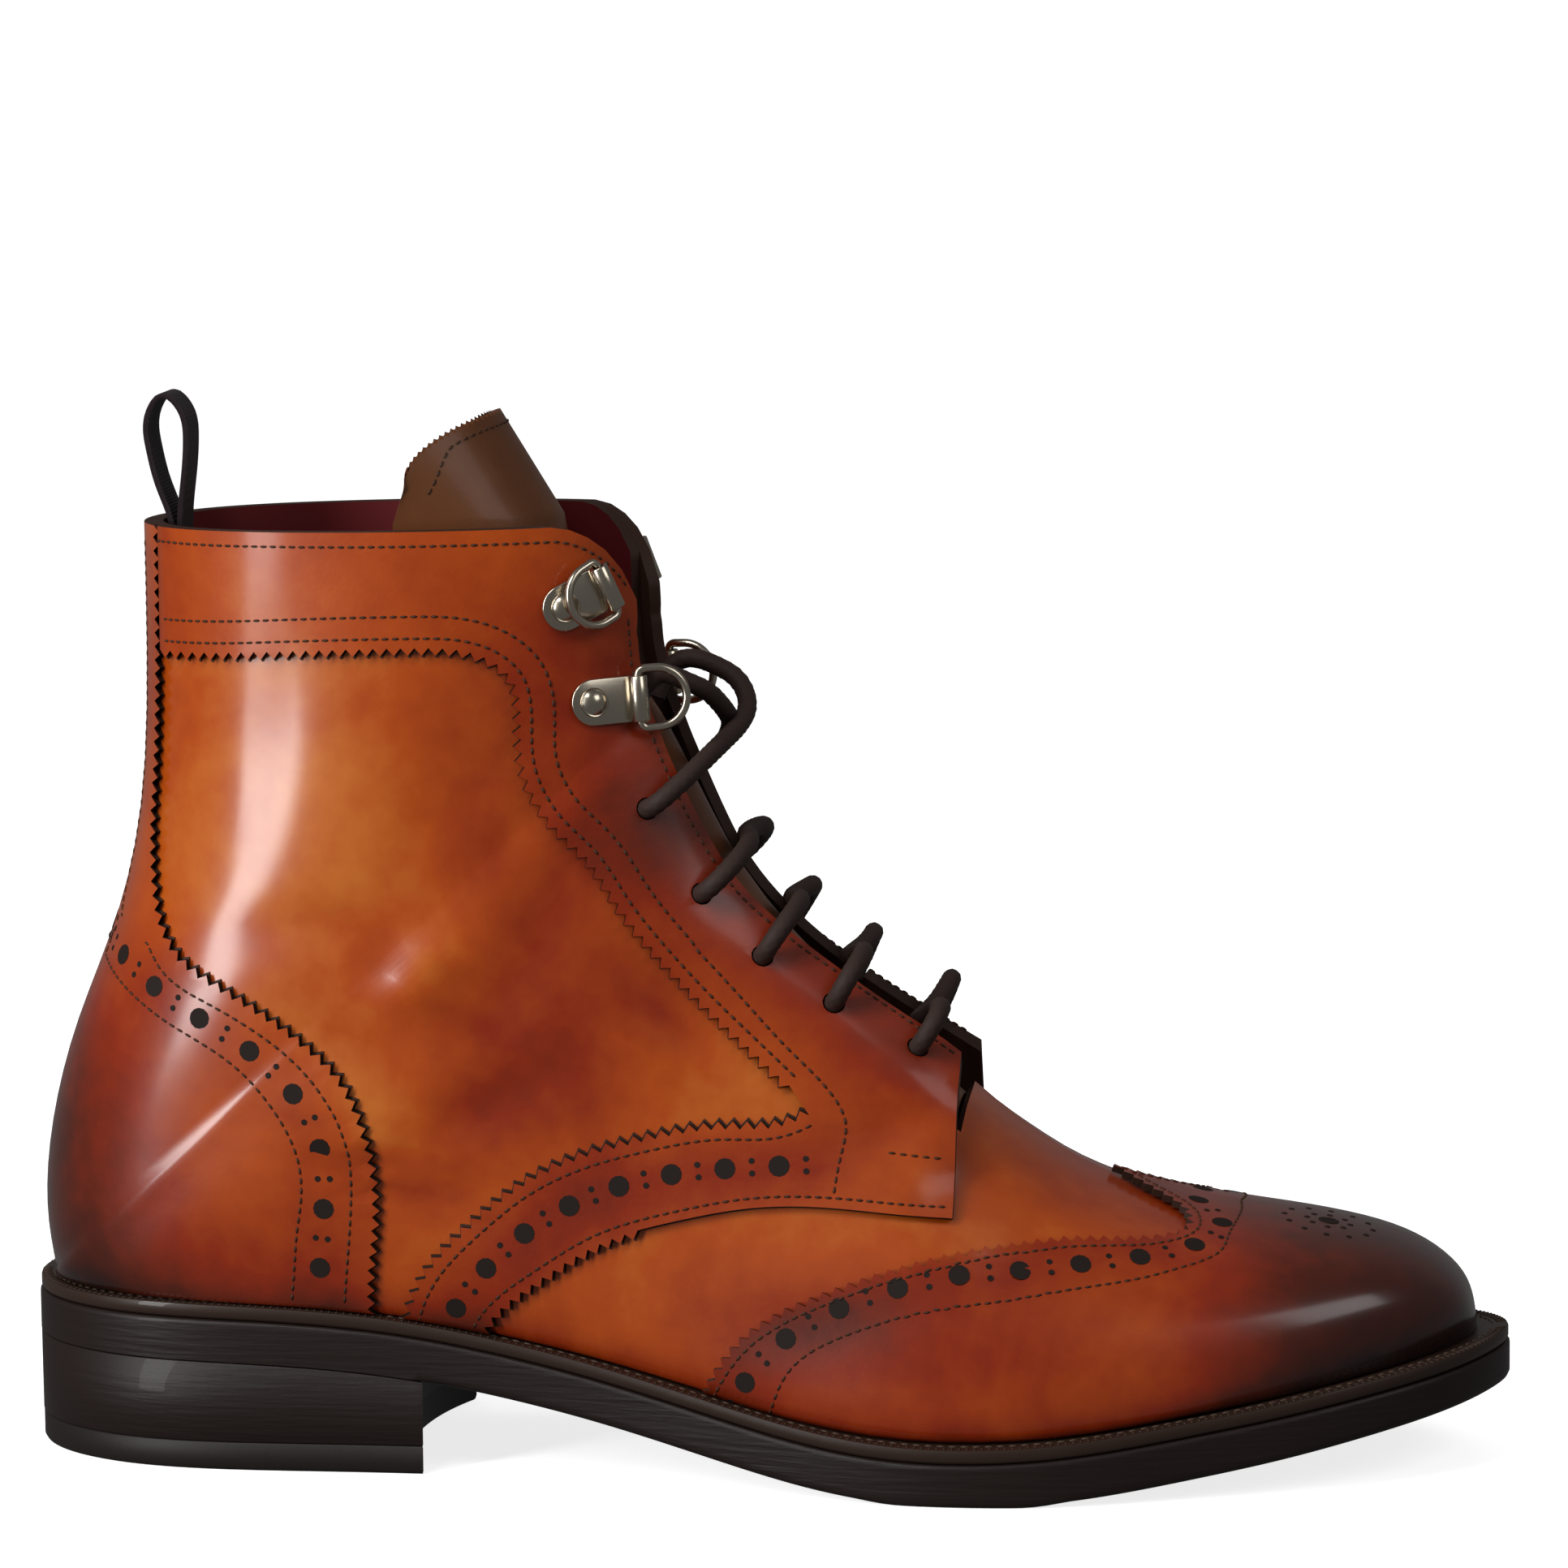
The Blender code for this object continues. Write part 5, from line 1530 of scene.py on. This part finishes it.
outsole = layer("outsole_edge", [
    (inset_edge(1.2), outsole_top),
    (inset_edge(0.4), lambda x: outsole_top(x) - 0.15),
    (inset_edge(0.05), lambda x: outsole_top(x) - 0.6),
    (inset_edge(0.0), lambda x: outsole_top(x) - 1.2),
    (inset_edge(0.0), lambda x: float(sole_bottom(x)) + 2.0),
    (inset_edge(0.0), lambda x: float(sole_bottom(x)) + 1.0 * fore_edge(x)),
    (inset_edge(0.35), lambda x: float(sole_bottom(x)) + 0.3 * fore_edge(x)),
    (inset_edge(1.2), lambda x: float(sole_bottom(x))),
], [edge_ink])
hand_over(outsole, ["outsole"])

stack = layer("heel_stack_leather", [
    (inset_edge(0.3), lambda x: float(sole_bottom(x)) - 0.04),
    (inset_edge(0.05), lambda x: float(sole_bottom(x)) - 0.25),
    (inset_edge(0.1), lambda x: TOP_LIFT + 0.3),
    (inset_edge(0.3), lambda x: TOP_LIFT + 0.04),
], [edge_ink], high=HEEL_BREAST + 10)
lift = layer("heel_lift_rubber", [
    (inset_edge(0.6), lambda x: TOP_LIFT),
    (inset_edge(0.2), lambda x: TOP_LIFT - 0.4),
    (inset_edge(0.2), lambda x: 0.9),
    (inset_edge(0.6), lambda x: 0.2),
    (inset_edge(1.2), lambda x: 0.0),
], [lift_rubber], high=HEEL_BREAST + 10)
BREAST_HALF = 36.0        # half the width over which the breast's hollow is measured
breast_radius = (BREAST_HALF ** 2 + BREAST_HOLLOW ** 2) / (2 * BREAST_HOLLOW)
for heel, node in ((stack, "heel_stack"), (lift, "heel_top_lift")):
    cutter = bmesh.new()
    bmesh.ops.create_cone(
        cutter, cap_ends=True, segments=192, radius1=breast_radius, radius2=breast_radius,
        depth=80, matrix=Matrix.Translation((HEEL_BREAST - BREAST_HOLLOW + breast_radius, 0, 10)))
    trimmed(heel, [(solid("breast_cutter", cutter, [edge_ink]), 'DIFFERENCE')])
    hand_over(heel, [node])

insole = layer("insole_sock", [
    (-3.5, lambda x: float(welt_top(x)) - WELT_THICK + INSOLE_THICK),
    (-3.5, lambda x: float(welt_top(x)) - WELT_THICK),
], [lining_calf])
hand_over(insole, ["insole"])

shares = sole_shares(HEEL_X, TOE_X)
walk = [(s, 0) for s in shares] + [(s, 1) for s in shares[-2:0:-1]]
mesh = bmesh.new()
rings = []
for share, far in walk:
    inner = outline_pair(share, -2.4)[far]
    edges = [outline_pair(share, inset_edge(inset))[far] for inset in (1.2, 0.5, 0.3, 0.3, 0.6, 1.2)]
    drops = (0.0, 0.15, 0.6, 2.3, 2.8, WELT_THICK)
    points = [(*inner, float(welt_top(inner[0])))]
    points += [(*edge, float(welt_top(edge[0])) - drop) for edge, drop in zip(edges, drops)]
    points.append((*inner, float(welt_top(inner[0])) - WELT_THICK))
    rings.append([mesh.verts.new(p) for p in points])
bridge(mesh, rings, closed=True)
welt_ink = paint("welt_leather", (0.030, 0.016, 0.011), 0.42, 0.0, 0.15)
add_bump(welt_ink, 300, 0.2, 0.0002)
welt = solid("welt_strip", mesh, [welt_ink], 0.9)
hand_over(welt, ["welt"])

welt_surface = surface_of(welt)
for name, reach, size, colour, pitch in (
        ("welt_wheel_marks", 1.6, (2.6, 0.55, 0.4), (0.045, 0.026, 0.018), 1.5),
        ("welt_stitches", 3.4, (1.9, 0.7, 0.55), (0.075, 0.045, 0.03), 2.4)):
    lines = []
    for far in (0, 1):
        line = [outline_pair(share, inset_edge(reach))[far] for share in shares[2:-2]]
        spots = [spot for point in line for spot in spots_on(welt_surface, (*point, 60), (0, 0, -1))]
        places, normals, runs = evenly(spots, pitch)
        if name == "welt_wheel_marks":
            runs = np.cross(normals, runs)
        lines.append((places, normals, runs))
    piece = repeated(name, stitch_tree, lines, size, paint(name, colour, 0.5))
    hand_over(piece)


# Pull loop: dark ribbon folded into an eye, both ends sewn inside the shaft

LOOP_WIDTH = 11.0
LOOP_THICK = 1.1
LOOP_PATH = read_table("""
    x      z
  -5.3  172.0
  -5.3  183.0
  -5.8  191.0
  -8.4  198.5
 -10.2  206.0
 -10.2  213.0
  -7.0  216.8
  -3.6  214.0
  -2.4  208.0
  -3.0  200.0
  -3.9  192.0
  -3.8  183.0
  -3.8  172.0
""")

points = smooth_points(LOOP_PATH)
points = np.stack([np.interp(np.linspace(0, 1, 160), np.linspace(0, 1, len(points)), column)
                   for column in points.T], -1)
along = unit(np.gradient(points, axis=0))
outward = np.stack([-along[:, 1], along[:, 0]], 1) * LOOP_THICK / 2
mesh = bmesh.new()
rings = []
for point, push in zip(points, outward):
    corners = [(point - push, -0.96), (point - push, 0.96), (point, 1), (point + push, 0.96),
               (point + push, -0.96), (point, -1)]
    rings.append([mesh.verts.new((xz[0], end * LOOP_WIDTH / 2, xz[1])) for xz, end in corners])
bridge(mesh, rings)
ribbon = paint("woven_ribbon", (0.012, 0.004, 0.006), 0.65)
ribbon.node_tree.nodes["Principled BSDF"].inputs["Sheen Weight"].default_value = 0.05
add_bump(ribbon, 1400, 0.5, 0.0002, kind="ShaderNodeTexWave")
loop = solid("pull_loop_ribbon", mesh, [ribbon], 0.9)
hand_over(loop, ["pull_loop"])


# Ring clips: folded nickel plates with a domed rivet, and their D-rings; the two
# upper rings turn on their bars

PLATE_THICK = 0.8
PLATE_HALF = 4.7
BAR_U = 9.3               # from the rivet to the ring's straight bar
BARREL_OUTER, BARREL_INNER = 1.9, 1.15
BARREL_HALF = 4.6
RING_HALF, RING_DEPTH, RING_CORNER = 6.0, 9.6, 1.4
RIVET_RADIUS = 3.0
RING_SWING = {"lower": 14.0, "upper": 162.0}


def clip_frame(row, turn, lean, side):
    """Matrix from a clip's own axes to the boot, on the facing's outer face."""
    outward = Vector(skin_normal(row, turn, side, facing_point))
    toward = (-side * Vector((0, 0, 1)).cross(outward)).normalized()
    across = outward.cross(toward)
    angle = -side * np.radians(lean)
    u = toward * np.cos(angle) + across * np.sin(angle)
    v = outward.cross(u)
    frame = Matrix((u, v, outward)).transposed().to_4x4()
    return Matrix.Translation(Vector(facing_point(row, turn, side)) + outward * GAP) @ frame


WIRE_RADIUS = 0.85
nickel = paint("old_nickel", (0.52, 0.46, 0.37), 0.24, 1.0)
add_bump(nickel, 300, 0.12, 0.0002)


def lathe(mesh, profile, count=32):
    """Closed form turned round the n axis from (radius, height) pairs."""
    angles = np.arange(count) * 2 * np.pi / count
    loops = [[mesh.verts.new((r * np.cos(a), r * np.sin(a), n)) for a in angles]
             for r, n in profile]
    bridge(mesh, loops)


# Rounded steps of the plate's edge, of the barrel and of the rivet's dome
PLATE_LEVELS = ((0.2, 0.0), (0.0, 0.15), (0.0, PLATE_THICK - 0.25), (0.08, PLATE_THICK - 0.08),
                (0.28, PLATE_THICK))
BARREL_PROFILE = (
    (BARREL_OUTER - 0.15, -BARREL_HALF), (BARREL_OUTER, -BARREL_HALF + 0.15),
    (BARREL_OUTER, BARREL_HALF - 0.15), (BARREL_OUTER - 0.15, BARREL_HALF),
    (BARREL_INNER, BARREL_HALF), (BARREL_INNER, -BARREL_HALF),
)
RIVET_PROFILE = ((1.0, 0.25), (0.93, 0.5), (0.86, 0.42), (0.74, 0.75), (0.5, 1.2), (0.2, 1.45))
RIVET_TIP = (0.02, PLATE_THICK + 1.5)


def clip_mesh(place):
    """Plate bent from sheet, its barrel and the rivet's dome, each a closed form."""
    plate = bmesh.new()
    angles = np.linspace(np.pi / 2, 3 * np.pi / 2, 33)
    rim = [(PLATE_HALF * np.cos(a), PLATE_HALF * np.sin(a)) for a in angles]
    rim += [(BAR_U - 1.0, -PLATE_HALF), (BAR_U - 1.0, PLATE_HALF)]
    bridge(plate, [[plate.verts.new((u * (1 - inset / PLATE_HALF), v * (1 - inset / PLATE_HALF), n))
                    for u, v in rim] for inset, n in PLATE_LEVELS])
    barrel = bmesh.new()
    turns = np.arange(28) * 2 * np.pi / 28
    bridge(barrel, [[barrel.verts.new((BAR_U + radius * np.cos(a), v,
                                       BARREL_OUTER + radius * np.sin(a))) for a in turns]
                    for radius, v in BARREL_PROFILE], closed=True)
    dome = bmesh.new()
    lathe(dome, [(RIVET_RADIUS, 0.6)] + [(RIVET_RADIUS * share, PLATE_THICK + n)
                                         for share, n in RIVET_PROFILE] + [RIVET_TIP])
    whole = bmesh.new()
    for part in (plate, barrel, dome):
        part.transform(place)
        data = bpy.data.meshes.new("part")
        part.to_mesh(data)
        whole.from_mesh(data)
        bpy.data.meshes.remove(data)
        part.free()
    return whole


def ring_mesh(place, swing):
    """D-ring of round wire at its angle in the clip."""
    bend = [(RING_CORNER * (1 - np.cos(a)), RING_HALF - RING_CORNER * (1 - np.sin(a)))
            for a in np.radians([15, 30, 45, 60, 75, 90])]
    points = [(0, -RING_HALF + RING_CORNER), (0, 0), (0, RING_HALF - RING_CORNER), *bend]
    points += [(RING_DEPTH - RING_HALF + RING_HALF * np.sin(a), RING_HALF * np.cos(a))
               for a in np.radians(np.arange(0, 181, 7.5))]
    points += [(u, -v) for u, v in bend[::-1]]
    mesh = tube_mesh([(u, v, 0) for u, v in points], WIRE_RADIUS, 16, True)
    hinge = place @ Matrix.Translation((BAR_U, 0, BARREL_OUTER))
    mesh.transform(hinge @ Matrix.Rotation(-np.radians(swing), 4, 'Y'))
    return mesh


def tube_mesh(points, radius, sides, closed=False, braid=0.0):
    """Round wire or cord; braid is the share by which its strands stand out."""
    points = np.array(points, dtype=float)
    if closed:
        along = np.roll(points, -1, 0) - np.roll(points, 1, 0)
    else:
        along = np.gradient(points, axis=0)
    along = unit(along)
    length = run_length(points)
    side = np.cross(along[0], (0.31, 0.53, 0.79))
    turns = np.arange(sides) * 2 * np.pi / sides
    mesh = bmesh.new()
    rings = []
    for point, forward, at in zip(points, along, length):
        side = unit(side - forward * np.dot(side, forward))
        other = np.cross(forward, side)
        wave = np.abs(np.sin(3 * turns + 1.5 * at) * np.sin(3 * turns - 1.5 * at))
        reach = radius * (1 - braid + 1.4 * braid * wave)
        rings.append([mesh.verts.new(point + r * (side * np.cos(a) + other * np.sin(a)))
                      for a, r in zip(turns, reach)])
    bridge(mesh, rings, closed)
    return mesh


for side in (LATERAL, MEDIAL):
    for number, level in enumerate(("lower", "upper")):
        place = clip_frame(*(CLIPS[name][number] for name in ("row", "turn", "lean")), side)
        label = level + "_" + SIDE_NAMES[side]
        clip = solid("clip_metal_" + label, clip_mesh(place), [nickel], 0.8)
        hand_over(clip, ["clip_" + label])
        ring = solid("ring_wire_" + label, ring_mesh(place, RING_SWING[level]), [nickel], 0.9)
        hand_over(ring, ["ring_" + label],
                  "boot" if level == "lower" else "ring_" + label)


# Lace: round waxed cord, four straight bars and one crossing through the rings

BEND = 4.2                # radius of the lace where it comes out of an eyelet
END_CROWDING = 0.08       # how much closer a lace's points lie at its ends
BEND_START = 0.5          # height over the facing at which it begins to bend
BAR_LOW = 0.8             # lace's middle over the upper's level at the ridge
CROSSING_LATERAL = read_table("""
    x      y      z
 103.0  -19.0  142.6
 108.3  -10.0  147.2
 110.8    0.0  150.2
 111.0    6.0  153.4
 108.5    9.5  157.4
 103.5   11.0  160.2
  98.0   11.6  161.4
""")
CROSSING_MEDIAL = read_table("""
    x      y      z
 103.0   19.0  142.6
 106.8    9.0  146.8
 108.0    1.0  150.6
 106.8   -4.5  154.2
 103.8   -9.0  157.9
  99.8  -11.3  160.0
  96.5  -12.0  161.2
""")


def lace_out(row, turn, side, toward):
    """Centre line of a lace as it leaves an eyelet and bends over."""
    outward = skin_normal(row, turn, side, facing_point)
    face = facing_point(row, turn, side)
    toward = toward - face
    toward = unit(toward - outward * np.dot(toward, outward))
    steps = ((-1.4, 0.0), (BEND_START, 0.0), (BEND_START + BEND * 0.71, BEND * 0.29),
             (BEND_START + BEND, BEND))
    return [face + outward * up + toward * along for up, along in steps]


def bar_point(row, turn, share, side):
    """Point of a bar from the eyelet's turn, share 0, to the ridge, share 1."""
    here = turn * (1 - share)
    edge = turn_at_width(row, FACING_GAP_HALF, side)
    high = float(facing_top(row, max(here, edge))) + BEND_START + BEND
    height = high + (BAR_LOW - high) * float(smooth_step(share, 1 - edge / turn, 1.0))
    return skin(row, here, side) + skin_normal(row, max(here, 2), side) * height


def smooth_path(points, count):
    """Points on a smooth curve through the given ones, closest at its ends."""
    points = np.array(points)
    length = run_length(points)
    share = np.linspace(0, 1, count)
    where = length[-1] * (share - END_CROWDING * np.sin(2 * np.pi * share))
    return np.stack([natural_spline(length, column)(where) for column in points.T], -1)


cord_wax = paint("waxed_braid", (0.034, 0.019, 0.015), 0.68)
add_bump(cord_wax, 900, 0.25, 0.0002)
LACE_STEP = 0.42
TAIL_DEPTHS = (5.0, 3.2)


def lace_mesh(points):
    points = smooth_path(points, 200)
    points = smooth_path(points[::8], int(run_length(points)[-1] / LACE_STEP))
    return tube_mesh(points, LACE_RADIUS, 24, False, 0.05)


def tail(row, turn, side):
    """The lace under an eyelet, where it lies behind the facing."""
    outward = skin_normal(row, turn, side, facing_point)
    return [facing_point(row, turn, side) - outward * deep for deep in TAIL_DEPTHS]


for number in range(4):
    row, turn = EYELETS["row"][number], EYELETS["turn"][number]
    half = []
    for side in (LATERAL, MEDIAL):
        walk = [bar_point(row, turn, share, side) for share in (0.55, 0.8)]
        half.append(tail(row, turn, side) + lace_out(row, turn, side, walk[0]) + walk)
    lace = solid(f"lace_cord_{number + 1}", lace_mesh(half[0] + half[1][::-1]), [cord_wax], 3.0)
    hand_over(lace, [f"lace_bar_{number + 1}"])

# Ends of the crossing, which hang down inside the throat behind the rings
HIDDEN_ENDS = {LATERAL: ((95.0, 12.4, 160.0), (92.4, 12.0, 156.4), (91.0, 11.0, 152.0)),
               MEDIAL: ((93.6, -12.6, 159.6), (91.4, -12.0, 156.2), (90.2, -11.0, 152.0))}
row, turn = EYELETS["row"][-1], EYELETS["turn"][-1]
for side, table in ((LATERAL, CROSSING_LATERAL), (MEDIAL, CROSSING_MEDIAL)):
    spots = np.stack([table["x"], table["y"], table["z"]], -1)
    lace = lace_mesh([*tail(row, turn, side), *lace_out(row, turn, side, spots[0]), *spots[1:],
                      *HIDDEN_ENDS[side]])
    lace = solid("lace_cord_crossing_" + SIDE_NAMES[side], lace, [cord_wax], 3.0)
    hand_over(lace, ["lace_crossing"])
